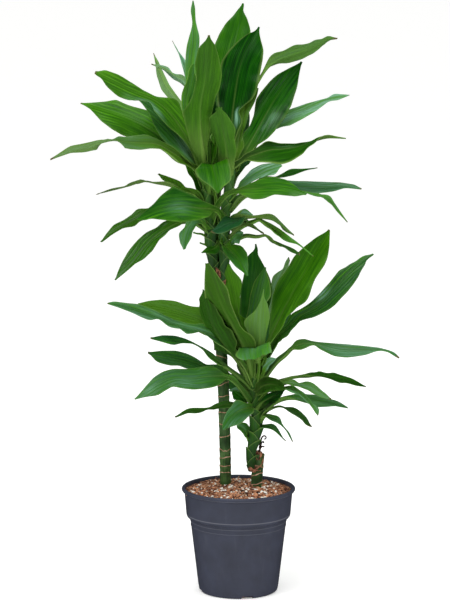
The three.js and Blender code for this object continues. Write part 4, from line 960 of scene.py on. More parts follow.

# Each leaf: name; (full width, share that is stalk, where the blade is widest, height of its waves);
# the way it faces from foot to tip; (depth of its foot, reach of its tip behind that); (darkness,
# hue from olive to teal, painted sheen that takes off the shine below zero, dryness of the tip, pallor
# beneath); its midrib and then its outlines, as they are seen from the front; and what sets it apart, as
# leaf_mesh says.
LEFT_LEAVES = [
    ["spear", (34, 0.15, 0.55, 1), [30, 40], (36, 90), (0.12, 0, 0.25, 0, 0.3),
     [[-66, 800], [-78, 885], [-86, 950], [-84, 990], [-80, 1025], [-83, 1055], [-83, 1092]],
     [[[-96, 984], [-96, 993], [-94, 1011], [-90, 1026], [-85, 1043], [-82, 1059], [-83, 1092]],
      [[-77, 996], [-71, 1009], [-71, 1028], [-75, 1043], [-78, 1057], [-79, 1082], [-83, 1092]]],
     {"sheath": 0.4}],
    ["back_narrow", (24, 0.15, 0.55, 1), [50, 50], (28, 150), (0.3, 0.5, 1, 0.03, 0.4),
     [[-68, 810], [-82, 880], [-93, 955], [-100, 980], [-120, 1020]],
     [[[-96, 943], [-97, 954], [-101, 970], [-109, 998], [-120, 1020]],
      [[-88, 965], [-90, 974], [-98, 987], [-109, 1001], [-120, 1020]]], {}],
    ["back_short", (40, 0.15, 0.6, 2), [35, 35], (22, 20), (0.15, -0.1, 0.1, 0, 0.95),
     [[-72, 815], [-88, 870], [-96, 900], [-91, 935], [-86, 960], [-82, 978]],
     [[[-102, 893], [-104, 906], [-104, 922], [-100, 935], [-93, 950], [-91, 963]],
      [[-91, 906], [-83, 922], [-79, 937], [-77, 950], [-80, 963], [-82, 977]]],
     {"curl": [(-1, 0.3, 0.95, 150)], "margin": 1}],
    ["back_pale", (36, 0.15, 0.55, 1), [125, 128], (30, 190), (0.1, -0.1, 0.25, 0.03, 0.85),
     [[-72, 810], [-90, 875], [-113, 912], [-132, 938], [-142, 963], [-154, 997]],
     [[[-128, 917], [-140, 931], [-149, 959], [-150, 974], [-154, 997]],
      [[-100, 905], [-117, 928], [-126, 941], [-137, 964], [-146, 984], [-154, 997]]], {}],
    ["back_curled", (26, 0.15, 0.55, 1), [130, 130], (34, 170), (-0.3, 0, 0.8, 0.03, 0.9),
     [[-70, 815], [-84, 885], [-97, 942], [-113, 955], [-135, 969], [-158, 978]],
     [[[-100, 959], [-114, 960], [-122, 963], [-126, 972], [-138, 976], [-158, 978]],
      [[-98, 937], [-107, 945], [-118, 950], [-128, 959], [-135, 967], [-158, 977]]], {}],
    ["front_tall", (72, 0.12, 0.6, 2), [160, 170], (14, -150), (0.4, -0.2, -0.6, 0.01, 0.1),
     [[-62, 790], [-68, 840], [-70, 900], [-60, 955], [-56, 1000], [-54, 1030]],
     [[[-79, 817], [-88, 836], [-97, 867], [-102, 892], [-92, 905], [-83, 922], [-77, 950], [-80, 978],
       [-74, 1003], [-70, 1013], [-63, 1016], [-54, 1030]],
      [[-63, 798], [-59, 821], [-52, 863], [-49, 888], [-41, 922], [-35, 932], [-30, 959], [-36, 991],
       [-43, 1013], [-50, 1022], [-54, 1030]]], {"ribs": 0.2, "sheath": 0.5}],
    ["front_bent", (74, 0.1, 0.5, 1), [180, 0], (20, -90), (0.4, 0, -0.4, 0, 0.2),
     [[-54, 738], [-51, 770], [-48, 796], [-46, 790], [-42, 770], [-38, 745]],
     [[[-58, 800], [-70, 796], [-79, 788], [-80, 782], [-74, 772], [-67, 766], [-58, 761], [-49, 756],
       [-43, 749], [-38, 745]],
      [[-30, 801], [-20, 804], [-16, 796], [-14, 782], [-13, 768], [-20, 760], [-30, 755], [-38, 745]]],
     {"cut": 0.9, "ragged": 5, "margin": 0.6}],
    ["heart", (22, 0.2, 0.55, 1), [60, 60], (22, 20), (0.25, 0, -0.6, 0, 0.3),
     [[-50, 760], [-47, 800], [-45, 835], [-46, 870]],
     [[[-49, 839], [-50, 812], [-44, 799]],
      [[-41, 832], [-39, 812]]], {}],
    ["upper_left", (62, 0.15, 0.6, 2), [35, 40], (22, -20), (0.32, -0.2, -0.2, 0.01, 0.6),
     [[-68, 775], [-80, 812], [-96, 846], [-122, 885], [-150, 911], [-190, 928], [-228, 946], [-261, 962]],
     [[[-99, 876], [-102, 891], [-109, 911], [-116, 916], [-150, 919], [-175, 932], [-204, 951],
       [-220, 960], [-244, 968], [-261, 962]],
      [[-83, 817], [-97, 838], [-111, 852], [-127, 864], [-140, 878], [-153, 893], [-158, 906], [-163, 911],
       [-181, 914], [-198, 912], [-220, 920], [-240, 938], [-253, 959], [-261, 962]]],
     {"ribs": 0.7, "curl": [(1, 0.5, 0.8, 60)], "wax": [(0.62, 0.8, 0.15, 0.7)]}],
    ["long_left", (64, 0.12, 0.6, 2), [40, 38], (22, 70), (0.3, -0.1, -0.5, 0.01, 0.3),
     [[-68, 778], [-92, 801], [-120, 826], [-150, 852], [-190, 875], [-240, 893], [-287, 907]],
     [[[-170, 896], [-192, 901], [-208, 907], [-223, 914], [-244, 910], [-287, 907]],
      [[-125, 815], [-140, 828], [-160, 829], [-180, 840], [-211, 849], [-230, 860], [-250, 875],
       [-270, 897], [-287, 907]]], {"ribs": 0.5}],
    ["dark_left", (62, 0.15, 0.5, 1), [35, 35], (20, 20), (0.44, 0.1, 0.08, 0, 0.3),
     [[-68, 780], [-88, 815], [-112, 850], [-145, 885], [-181, 913]],
     [[[-77, 789], [-88, 800], [-103, 813], [-118, 827], [-131, 834], [-142, 847], [-154, 867], [-163, 889],
       [-175, 906], [-181, 913]]], {"ribs": 0.6, "wax": [(0.3, 0.2, 0.13, 0.8)]}],
    ["far_left", (52, 0.25, 0.4, 1), [40, 40, 40, 40, 60, 130, 130, 130], (10, -130),
     (0.4, -0.6, 0.2, 0.03, 0.8),
     [[-66, 776], [-90, 797], [-118, 816], [-150, 833], [-180, 835], [-208, 837], [-229, 840], [-280, 826],
      [-320, 816], [-343, 805]],
     [[[-88, 800], [-103, 812], [-118, 826], [-148, 842], [-169, 851], [-208, 846], [-218, 848],
       [-229, 841], [-252, 841], [-288, 833], [-306, 830], [-343, 806]],
      [[-88, 793], [-109, 800], [-120, 811], [-140, 825], [-160, 826], [-178, 823], [-201, 824],
       [-221, 833], [-229, 839], [-240, 831], [-259, 823], [-280, 818], [-306, 817], [-343, 804]]],
     {"sheath": 0.05}],
    ["dark_riser", (34, 0.12, 0.55, 1), [45, 45], (16, 60), (0.2, 0, -0.5, 0, 0.3),
     [[-58, 715], [-64, 738], [-71, 762], [-82, 782], [-98, 798]],
     [[[-66, 733], [-70, 735], [-79, 755], [-82, 765], [-86, 773], [-92, 778], [-98, 798]],
      [[-57, 728], [-60, 757], [-70, 776], [-88, 793], [-98, 798]]], {}],
    ["olive_left", (30, 0.15, 0.5, 1), [45, 45], (14, 60), (-0.1, -0.5, 0, 0.01, 0.5),
     [[-58, 722], [-80, 742], [-104, 756], [-125, 768], [-146, 779]],
     [[[-75, 738], [-95, 749], [-100, 759], [-108, 766], [-135, 776], [-146, 779]],
      [[-80, 737], [-98, 746], [-120, 756], [-130, 763], [-140, 768], [-146, 778]]], {}],
    ["thin_left", (32, 0.25, 0.55, 1), [68, 72, 108, 72], (20, 90), (0.95, -0.4, 0.05, 0.03, 0.5),
     [[-60, 715], [-90, 742], [-125, 758], [-150, 762], [-173, 765], [-200, 757], [-230, 749], [-258, 742]],
     [[[-128, 765], [-160, 764], [-168, 765], [-174, 770], [-200, 762], [-208, 756], [-232, 752],
       [-258, 742]],
      [[-128, 757], [-150, 758], [-166, 764], [-190, 757], [-205, 750], [-235, 745], [-258, 741]]], {}],
    ["crossing", (50, 0.36, 0.42, 1), [30, 20], (12, -110), (0.38, 0.05, 0, 0, 0.3),
     [[-48, 690], [-38, 718], [-25, 737], [-8, 747], [8, 751], [32, 752], [60, 754], [90, 752], [124, 742]],
     [[[0, 751], [32, 766], [46, 772], [65, 773], [87, 768], [102, 758], [117, 743], [124, 742]],
      [[0, 745], [9, 739], [26, 732], [46, 733], [64, 741], [85, 739], [105, 737], [124, 742]]],
     {"ribs": 0.4}],
    ["low_left", (40, 0.15, 0.62, 1), [50, 55], (10, -90), (0.6, -0.35, 0, 0, 0.4),
     [[-60, 690], [-100, 700], [-150, 708], [-172, 704], [-195, 691], [-225, 675], [-253, 654]],
     [[[-168, 714], [-180, 716], [-188, 713], [-193, 706], [-210, 694], [-228, 686], [-243, 668],
       [-252, 654]],
      [[-181, 692], [-190, 682], [-210, 680], [-232, 667], [-246, 656], [-252, 654]]], {"ribs": 0.4}],
    ["arching_left", (54, 0.12, 0.5, 2), [40, 42], (8, -120), (0.5, -0.2, 0, 0, 0.4),
     [[-60, 676], [-84, 690], [-112, 688], [-142, 672], [-167, 650], [-192, 617], [-226, 583]],
     [[[-128, 694], [-140, 690], [-150, 680], [-170, 671], [-186, 656], [-200, 640], [-212, 620],
       [-223, 596], [-226, 583]],
      [[-100, 690], [-112, 682], [-127, 676], [-133, 667], [-145, 658], [-158, 637], [-175, 621],
       [-188, 615], [-208, 597], [-226, 583]]], {"ribs": 0.6}],
    ["drooping", (36, 0.15, 0.55, 1), [30, 25], (8, -90), (0.24, 0.25, 0.35, 0, 0.4),
     [[-56, 674], [-68, 692], [-82, 695], [-93, 680], [-99, 662], [-100, 640]],
     [[[-97, 692], [-97, 685], [-101, 677], [-108, 673], [-110, 668], [-107, 650], [-100, 640]],
      [[-75, 688], [-80, 680], [-85, 672], [-86, 662], [-92, 652], [-100, 640]]], {}],
    ["wrap", (26, 0.15, 0.55, 1), [20, 20], (12, -30), (0.4, 0.1, 0, 0, 0.3),
     [[-36, 655], [-40, 646], [-48, 640], [-58, 638], [-68, 634]],
     [[[-68, 634], [-62, 640], [-57, 645], [-45, 646], [-38, 651]],
      [[-68, 634], [-55, 633], [-45, 631], [-38, 633]]], {}],
    ["stub_high", (3, 0.9, 0.55, 0), [0, 0], (18, -10), (-0.8, 0.1, 2.5, 0, 0.2),
     [[-58, 663], [-68, 668], [-76, 669], [-83, 671]], [], {}],
    ["stub_low", (3, 0.9, 0.55, 0), [0, 0], (18, -10), (-0.8, 0.1, 3, 0, 0.2),
     [[-52, 642], [-60, 648], [-66, 650], [-71, 652]], [], {}],
    ["petiole_inner", (9, 0.9, 0.5, 0), [20, 20], (20, -14), (0.3, -0.2, -0.3, 0, 0.2),
     [[-50, 650], [-47, 690], [-42, 722], [-46, 757]], [], {}],
    ["petiole_front", (11, 0.9, 0.5, 0), [20, 20], (22, -10), (0.5, -0.1, 0.2, 0, 0.2),
     [[-58, 650], [-60, 695], [-61, 730], [-61, 762]], [], {}],
    ["petiole_cross", (12, 0.9, 0.5, 0), [20, 20], (16, 2), (0.75, 0, -0.3, 0, 0.2),
     [[-33, 650], [-35, 690], [-37, 725], [-36, 757]], [], {}],
    ["petiole_dark", (28, 0.9, 0.5, 0), [20, 20], (26, 4), (0.7, 0, -0.3, 0, 0.2),
     [[-50, 650], [-51, 720], [-54, 790], [-55, 862]], [], {}],
    ["petiole_rear", (34, 0.9, 0.5, 0), [20, 20], (28, 4), (0.5, 0, -0.6, 0, 0.2),
     [[-36, 585], [-37, 650], [-41, 720], [-41, 790], [-40, 858]], [], {}],
    ["rear_high", (54, 0.12, 0.55, 3), [15, 10], (28, 200), (0.5, 0, 0.1, 0.02, 0.5),
     [[-66, 790], [-74, 838], [-82, 878], [-88, 900]], [], {}],
    ["rear_low", (46, 0.12, 0.55, 3), [30, 20], (24, 170), (0.55, 0, 0.1, 0.02, 0.5),
     [[-64, 750], [-88, 806], [-116, 840], [-140, 846]], [], {}],
    ["rear_middle", (36, 0.1, 0.6, 2), [15, 10], (30, 50), (0.9, 0, -0.5, 0, 0.2),
     [[-42, 640], [-44, 720], [-45, 810], [-47, 922]], [], {}],
]
grow_leaves("left_", LEFT_LEAVES, "tall_left_shoot", 101)


# ---- right shoot of the tall cane ----
# The second side shoot, grown from the same height as the first and just as tall. It has the
# crown's broadest and darkest leaves.
RIGHT_SHOOT = [[-34, 556, 26, 5], [-28, 580, 20, 8], [-27, 612, 17, 9.2], [-26, 640, 17, 10.4],
               [-26, 670, 17, 10.4], [-25, 700, 18, 10], [-20, 738, 19, 9.6], [-15, 778, 20, 8],
               [-12, 820, 24, 4]]
sheathed_stem("right_shoot_stem", RIGHT_SHOOT, "tall_right_shoot", 15, 32, (0.45, -0.25, 0.12))
# its leaves, each given as the left shoot's are
RIGHT_LEAVES = [
    ["top", (72, 0.12, 0.62, 2), [20, 15], (28, 150), (0.42, -0.1, -0.7, 0, 0.3),
     [[-18, 790], [-22, 860], [-22, 925], [-12, 995], [0, 1045], [8, 1087]],
     [[[-43, 1015], [-35, 1033], [-24, 1051], [-11, 1064], [-2, 1076], [8, 1087]],
      [[22, 1036], [18, 1050], [15, 1060], [6, 1077], [8, 1087]]], {"sheath": 0.5}],
    ["dark_top", (84, 0.12, 0.62, 2), [12, 10], (22, 90), (0.8, 0, -0.7, 0, 0.3),
     [[-14, 785], [-14, 850], [-8, 915], [6, 985], [36, 1045]],
     [[[-16, 881], [-38, 898], [-40, 931], [-36, 955], [-32, 983], [-18, 1003], [0, 1021], [16, 1033],
       [28, 1036], [36, 1045]],
      [[-4, 890], [12, 905], [25, 914], [33, 931], [37, 953], [43, 985], [45, 1003], [38, 1028],
       [36, 1045]]], {"margin": 0.5, "wax": [(0.36, -0.5, 0.07, 1.1)]}],
    ["olive_back", (52, 0.1, 0.5, 1), [15, 15], (21, 60), (0.15, -0.7, 0.05, 0, 0.35),
     [[-10, 785], [0, 840], [8, 880], [18, 935]],
     [[[-8, 850], [-14, 875], [-18, 900]],
      [[5, 845], [7, 853], [14, 871], [18, 889], [28, 907], [33, 920], [36, 935]]], {}],
    ["top_right", (50, 0.42, 0.45, 1), [130, 128], (38, 100), (0.17, -0.1, 0.1, 0.03, 0.35),
     [[-8, 790], [5, 860], [18, 910], [37, 952], [55, 975], [75, 988], [100, 996], [125, 1004], [148, 1015],
      [163, 1025], [178, 1024]],
     [[[37, 955], [43, 965], [50, 980], [56, 992], [65, 999], [80, 1001], [95, 1010], [102, 1013],
       [115, 1013], [128, 1016], [138, 1022], [150, 1023], [160, 1029], [168, 1027], [178, 1025]],
      [[38, 951], [52, 957], [57, 965], [65, 970], [72, 974], [85, 973], [97, 975], [105, 980], [115, 982],
       [125, 988], [135, 997], [145, 1006], [155, 1012], [162, 1021], [178, 1023]]],
     {"ribs": 0.7, "sheath": 0.5}],
    ["dark_right", (72, 0.05, 0.5, 2), [20, 15], (18, 110), (0.6, 0, -0.75, 0, 0.3),
     [[-6, 785], [8, 812], [28, 848], [58, 902], [86, 945], [114, 982]],
     [[[8, 827], [7, 852], [20, 866], [27, 884], [31, 914], [39, 926], [57, 948], [71, 960], [92, 971],
       [114, 982]],
      [[26, 827], [51, 842], [64, 855], [81, 877], [95, 902], [106, 937], [110, 962], [114, 981]]],
     {"ribs": 0.3, "sheath": 0.4, "wax": [(0.5, -0.35, 0.08, 0.9), (0.38, -0.1, 0.06, 0.6)]}],
    ["folded_right", (40, 0.15, 0.55, 1), [45, 45], (24, 160), (-0.1, 0.1, 1, 0.01, 0.5),
     [[-6, 790], [30, 833], [60, 864], [85, 880], [120, 895], [165, 915], [201, 922]],
     [[[72, 887], [92, 896], [124, 907], [165, 918]],
      [[67, 865], [91, 866], [116, 879], [140, 893], [165, 912]]], {"ribs": 0.3}],
    ["level_right", (56, 0.1, 0.42, 2), [35, 35, 60, 110], (16, -60), (0.65, -0.1, -0.6, 0, 0.6),
     [[-10, 790], [15, 808], [33, 815], [56, 822], [80, 824], [106, 828], [133, 837], [160, 844],
      [195, 843]],
     [[[20, 818], [51, 839], [75, 834], [105, 834], [131, 838], [145, 846], [163, 850], [194, 844]],
      [[13, 805], [33, 801], [62, 799], [78, 796], [96, 802], [116, 815], [137, 834], [163, 840],
       [194, 843]]], {"curl": [(1, 0.25, 0.8, 75)], "margin": 0.9}],
    ["pale_right", (46, 0.15, 0.5, 1), [35, 35], (14, 30), (0.2, 0.2, 0.8, 0, 0.5),
     [[-20, 728], [-4, 745], [20, 767], [45, 783], [78, 795]],
     [[[0, 751], [0, 763], [10, 772], [23, 787], [41, 796], [62, 799], [78, 795]],
      [[10, 755], [33, 769], [52, 775], [67, 777], [78, 795]]], {"ribs": 0.4}],
    ["narrow_right", (30, 0.3, 0.5, 1), [62, 62], (16, 100), (0.57, 0.1, 0, 0.02, 0.4),
     [[-14, 740], [35, 764], [67, 772], [100, 782], [143, 790]],
     [[[66, 773], [79, 779], [93, 788], [117, 788], [143, 790]],
      [[75, 771], [99, 776], [122, 785], [143, 789]]], {}],
    ["far_right", (40, 0.2, 0.55, 1), [55, 55, 55], (16, -30), (0.5, 0.3, 0.4, 0.01, 0.5),
     [[-16, 712], [0, 735], [40, 750], [90, 755], [150, 753], [200, 756], [224, 751]],
     [[[92, 766], [133, 765], [186, 763], [212, 759], [224, 751]],
      [[116, 748], [140, 743], [171, 746], [194, 753], [224, 750]]], {"ribs": 0.4}],
    ["hanging_right", (30, 0.3, 0.55, 1), [50, 50], (22, 110), (0.16, -0.1, 0.2, 0.02, 0.5),
     [[-16, 710], [12, 738], [60, 750], [110, 750], [142, 743], [165, 735], [180, 715], [199, 690]],
     [[[146, 742], [163, 740], [169, 737], [172, 730], [183, 714], [199, 691]],
      [[146, 742], [154, 736], [160, 729], [170, 722], [180, 709], [199, 689]]], {}],
    ["front_cut", (60, 0.1, 0.5, 2), [160, 165], (14, -90), (0.44, -0.1, -0.5, 0, 0.2),
     [[-22, 770], [-22, 815], [-28, 855], [-37, 898]],
     [[[-30, 770], [-34, 800], [-37, 825], [-44, 843], [-52, 863], [-54, 882], [-44, 890], [-37, 898]],
      [[-12, 770], [-8, 800], [-4, 823], [-8, 843], [-5, 861], [-15, 877], [-24, 890], [-37, 898]]],
     {"cut": 0.85, "ragged": 6, "curl": [(-1, 0.35, 0.9, 45)], "sheath": 0.8}],
    ["front_left", (82, 0.14, 0.4, 2), [25, 20], (10, -190), (0.38, 0.1, 0, 0, 0.3),
     [[-28, 690], [-36, 708], [-50, 714], [-74, 716], [-105, 719], [-142, 713], [-186, 696]],
     [[[-42, 718], [-50, 722], [-65, 729], [-74, 735], [-98, 746], [-119, 756], [-128, 750], [-142, 739],
       [-155, 724], [-168, 713], [-186, 696]],
      [[-43, 713], [-53, 701], [-74, 694], [-105, 690], [-145, 695], [-162, 697], [-170, 693],
       [-186, 696]]], {"ribs": 0.5, "wax": [(0.55, 0.1, 0.12, 0.35)]}],
    ["front_dark", (40, 0.2, 0.5, 1), [30, 30], (14, -70), (0.62, 0.6, 0.1, 0.01, 0.4),
     [[-14, 674], [6, 686], [17, 691], [10, 695], [-6, 692], [-24, 686], [-50, 672]],
     [[[17, 691], [13, 699], [5, 703], [-8, 705], [-28, 700], [-36, 688], [-50, 673]],
      [[17, 690], [5, 685], [-10, 679], [-18, 674], [-32, 669], [-42, 668], [-50, 671]]], {}],
    ["small_dark", (24, 0.15, 0.55, 1), [130, 125], (12, -80), (1.25, -0.1, -0.7, 0.03, 0.3),
     [[-16, 662], [2, 682], [22, 684], [46, 670]],
     [[[5, 686], [12, 690], [18, 689], [27, 686], [35, 678], [46, 671]],
      [[5, 684], [10, 680], [22, 677], [33, 671], [46, 669]]], {}],
    ["humped", (34, 0.42, 0.5, 1), [120, 118], (14, -60), (0.58, -0.35, 0.1, 0.03, 0.5),
     [[-14, 690], [0, 700], [15, 700], [33, 701], [48, 699], [62, 695], [75, 686], [88, 676], [101, 667]],
     [[[33, 702], [45, 705], [55, 706], [63, 704], [70, 699], [77, 691], [85, 683], [92, 676], [101, 667]],
      [[33, 700], [42, 695], [50, 691], [60, 685], [75, 677], [88, 671], [101, 666]]], {}],
    ["rising", (28, 0.2, 0.55, 1), [50, 50], (20, 60), (-0.15, 0, 1.2, 0, 0.5),
     [[-20, 690], [-8, 702], [4, 708], [14, 708], [26, 703]],
     [[[-5, 705], [3, 712], [13, 716], [20, 709], [26, 704]],
      [[-3, 704], [12, 703], [26, 702]]], {}],
    ["stalked_right", (32, 0.42, 0.45, 1), [45, 40], (10, -40), (0.06, 0.05, 0.16, 0.02, 0.4),
     [[-10, 670], [8, 683], [25, 690], [38, 695], [52, 685], [70, 674], [88, 660], [108, 650], [137, 627]],
     [[[38, 697], [50, 692], [60, 687], [75, 678], [92, 665], [105, 655], [118, 645], [137, 628]],
      [[38, 694], [43, 685], [50, 677], [60, 674], [68, 668], [76, 664], [80, 658], [92, 653], [105, 650],
       [112, 648], [128, 636], [137, 626]]], {}],
    ["thin_low_right", (24, 0.52, 0.4, 1), [50, 50], (12, 20), (0.45, -0.3, 0.08, 0.02, 0.4),
     [[-20, 648], [-5, 657], [12, 665], [34, 664], [50, 667], [62, 655], [80, 648], [98, 639], [112, 630]],
     [[[50, 668], [55, 661], [65, 657], [80, 650], [95, 644], [105, 639], [112, 632]],
      [[50, 665], [55, 656], [62, 648], [75, 646], [83, 645], [93, 636], [103, 632], [112, 629]]], {}],
    ["rounded", (34, 0.15, 0.55, 1), [40, 40], (16, -30), (0.1, 0, 0.5, 0, 0.5),
     [[-20, 640], [-14, 654], [-5, 665], [8, 669]],
     [[[-16, 655], [-14, 665], [-5, 673], [2, 675], [10, 671], [12, 668]],
      [[-8, 652], [3, 650], [8, 656], [12, 666]]], {"cut": 0.85}],
    ["low_front", (50, 0.08, 0.42, 1), [20, 20], (14, -70), (0.25, 0.1, 0.05, 0, 0.3),
     [[-26, 660], [-27, 648], [-12, 634], [4, 616], [16, 591]],
     [[[-30, 650], [-30, 640], [-17, 622], [-5, 607], [8, 598], [16, 591]],
      [[-12, 649], [5, 648], [16, 633], [18, 605], [16, 591]]], {}],
    ["rear_high", (56, 0.12, 0.55, 3), [15, 10], (26, 210), (0.5, 0, 0.1, 0.02, 0.5),
     [[-12, 785], [-8, 850], [-4, 900], [2, 925]], [], {}],
    ["rear_low", (34, 0.12, 0.55, 2), [30, 20], (24, 150), (0.55, 0, 0.1, 0.02, 0.5),
     [[-14, 750], [4, 800], [22, 830], [38, 838]], [], {}],
]
grow_leaves("right_", RIGHT_LEAVES, "tall_right_shoot", 102)


# ---- dried stub of the tall cane ----
# Above the two shoots the cane's sawn top has dried out. Brown shreds of the old leaf bases, torn
# and curled, still cling round it.
def scrap_piece(name, shreds, node, material, seed):
    """Narrow, torn shreds of leaf base in one piece; each is a midrib, a width and its faces."""
    scraps = []
    for number, (path, width, faces_turned) in enumerate(shreds):
        depth = (path[0][2], path[-1][2] - path[0][2])
        mesh = leaf_mesh((width, 0.08, 0.4, 1.2), faces_turned, depth, (0.5, 0, 0, 0, 0),
                         [point[:2] for point in path], (), (seed, number), ragged=2.0)
        scraps.append(new_piece(f"{name}_{number}", mesh, material))
    with bpy.context.temp_override(active_object=scraps[0], selected_editable_objects=scraps):
        bpy.ops.object.join()
    scraps[0].name = name
    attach(scraps[0], "root")
    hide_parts(node)


# A leaf base dries to a matt, papery brown, paler where it frays.
dry_sheath = grain_material("dried_leaf_base", "#55301f", "#b87d5e", 0.88)
STUB = [([[-37, 584, 14], [-38, 595, 8], [-41, 606, 6]], 9, (10, 30)),
        ([[-33, 586, 30], [-33, 596, 24], [-33, 605, 18]], 9, (10, 30)),
        ([[-39, 578, 15], [-37, 588, 9], [-34, 597, 7]], 8, (10, 30)),
        ([[-30, 572, 14], [-27, 578, 9], [-24, 583, 8]], 7, (10, 30)),
        ([[-36, 583, 38], [-37, 594, 41], [-36, 602, 41]], 8, (150, 120))]
scrap_piece("tall_cane_dry_stub", STUB, "tall_cane_stub", dry_sheath, 41)


# ---- short cane ----
# The second cane, cut much lower: a short green length of the same stem, with three pale scars
# close together under its cut top.
SHORT_CANE = [[33, 190, 12], [35, 225, 13], [38, 256, 14]]
SHORT_SCARS = [[200.5, 2.6, 15, 0], [217, 4.2, 340, 0.8], [233, 3.0, 200, 0]]
cane_piece("short_cane_stem", SHORT_CANE, CANE_RADIUS, SHORT_SCARS, ROOTED_DEPTH, 255.5, "short_cane",
           green_bark)
scar_piece("short_cane_scars", SHORT_CANE, CANE_RADIUS, SHORT_SCARS, scar_cork, 0.0008)


# ---- dried husk of the short cane ----
# Brown papery remains of leaf bases round its cut top. A few thin strips of them stand out like
# wire, curled, and have weathered nearly black.
HUSK = [([[36, 246, 3], [37, 256, 5], [40, 266, 9]], 15, (10, 40)),
        ([[42, 240, 6], [44, 252, 6], [43, 262, 9]], 11, (30, 60)),
        ([[28, 224, 1], [34, 233, 1], [44, 238, 4]], 9, (20, 30)),
        ([[26, 231, 2], [33, 229, 1], [40, 226, 3]], 7, (10, 20)),
        ([[34, 250, 24], [36, 260, 24], [39, 266, 20]], 14, (160, 150)),
        ([[20, 232, -4], [27, 226, -4], [33, 230, -2]], 8, (10, 20))]
scrap_piece("short_cane_dry_husk", HUSK, "short_cane_husk", dry_sheath, 43)

# The thinnest shreds are brittle, and blackened by damp.
black_curl = grain_material("blackened_leaf_base", "#140a08", "#4a2a1e", 0.8)
CURLS = [[[39, 268, 6], [41, 280, 3], [43, 288, 1], [47, 292, -2], [51, 290, -4], [50, 286, -5],
          [47, 286, -5]],
         [[38, 262, 6], [41, 269, 3], [44, 272, 0], [48, 271, -2]],
         [[40, 272, 5], [43, 279, 2], [46, 281, 0], [47, 278, -1]]]
CURL_POINTS = 26
wire = bpy.data.curves.new("short_cane_dry_curls", "CURVE")
wire.dimensions, wire.use_fill_caps = "3D", True
wire.bevel_depth, wire.bevel_resolution = 2.0 * MM, 2
for path in CURLS:
    strip = wire.splines.new("POLY")
    strip.points.add(CURL_POINTS - 1)
    places, shares = smooth_line(lift(path), CURL_POINTS), np.linspace(1, 0.6, CURL_POINTS)
    for point, place, share in zip(strip.points, places, shares):
        point.co, point.radius = (*place * MM, 1), share
curls = new_piece("short_cane_dry_curls", plain_mesh(in_scene("curls", wire)), black_curl)
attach(curls, "root")
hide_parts("short_cane_husk")


# ---- leafy shoot of the short cane ----
# One strong shoot that grows up beside the cut top. It is ringed by the bases of its lowest leaves,
# and carries the most leaves, from broad waved ones in front to small old ones below.
SHORT_SHOOT = [[24, 226, 6, 7], [22.5, 245, 3, 9.2], [25, 268, 2, 10], [30, 292, 3, 12],
               [33, 315, 5, 13], [35, 338, 7, 13], [32, 362, 8, 10.5], [28, 385, 9, 8.2],
               [28, 410, 9, 6], [30, 455, 10, 3]]
sheathed_stem("short_shoot_stem", SHORT_SHOOT, "short_shoot", 15, 33, (0.62, -0.15, 0.05))
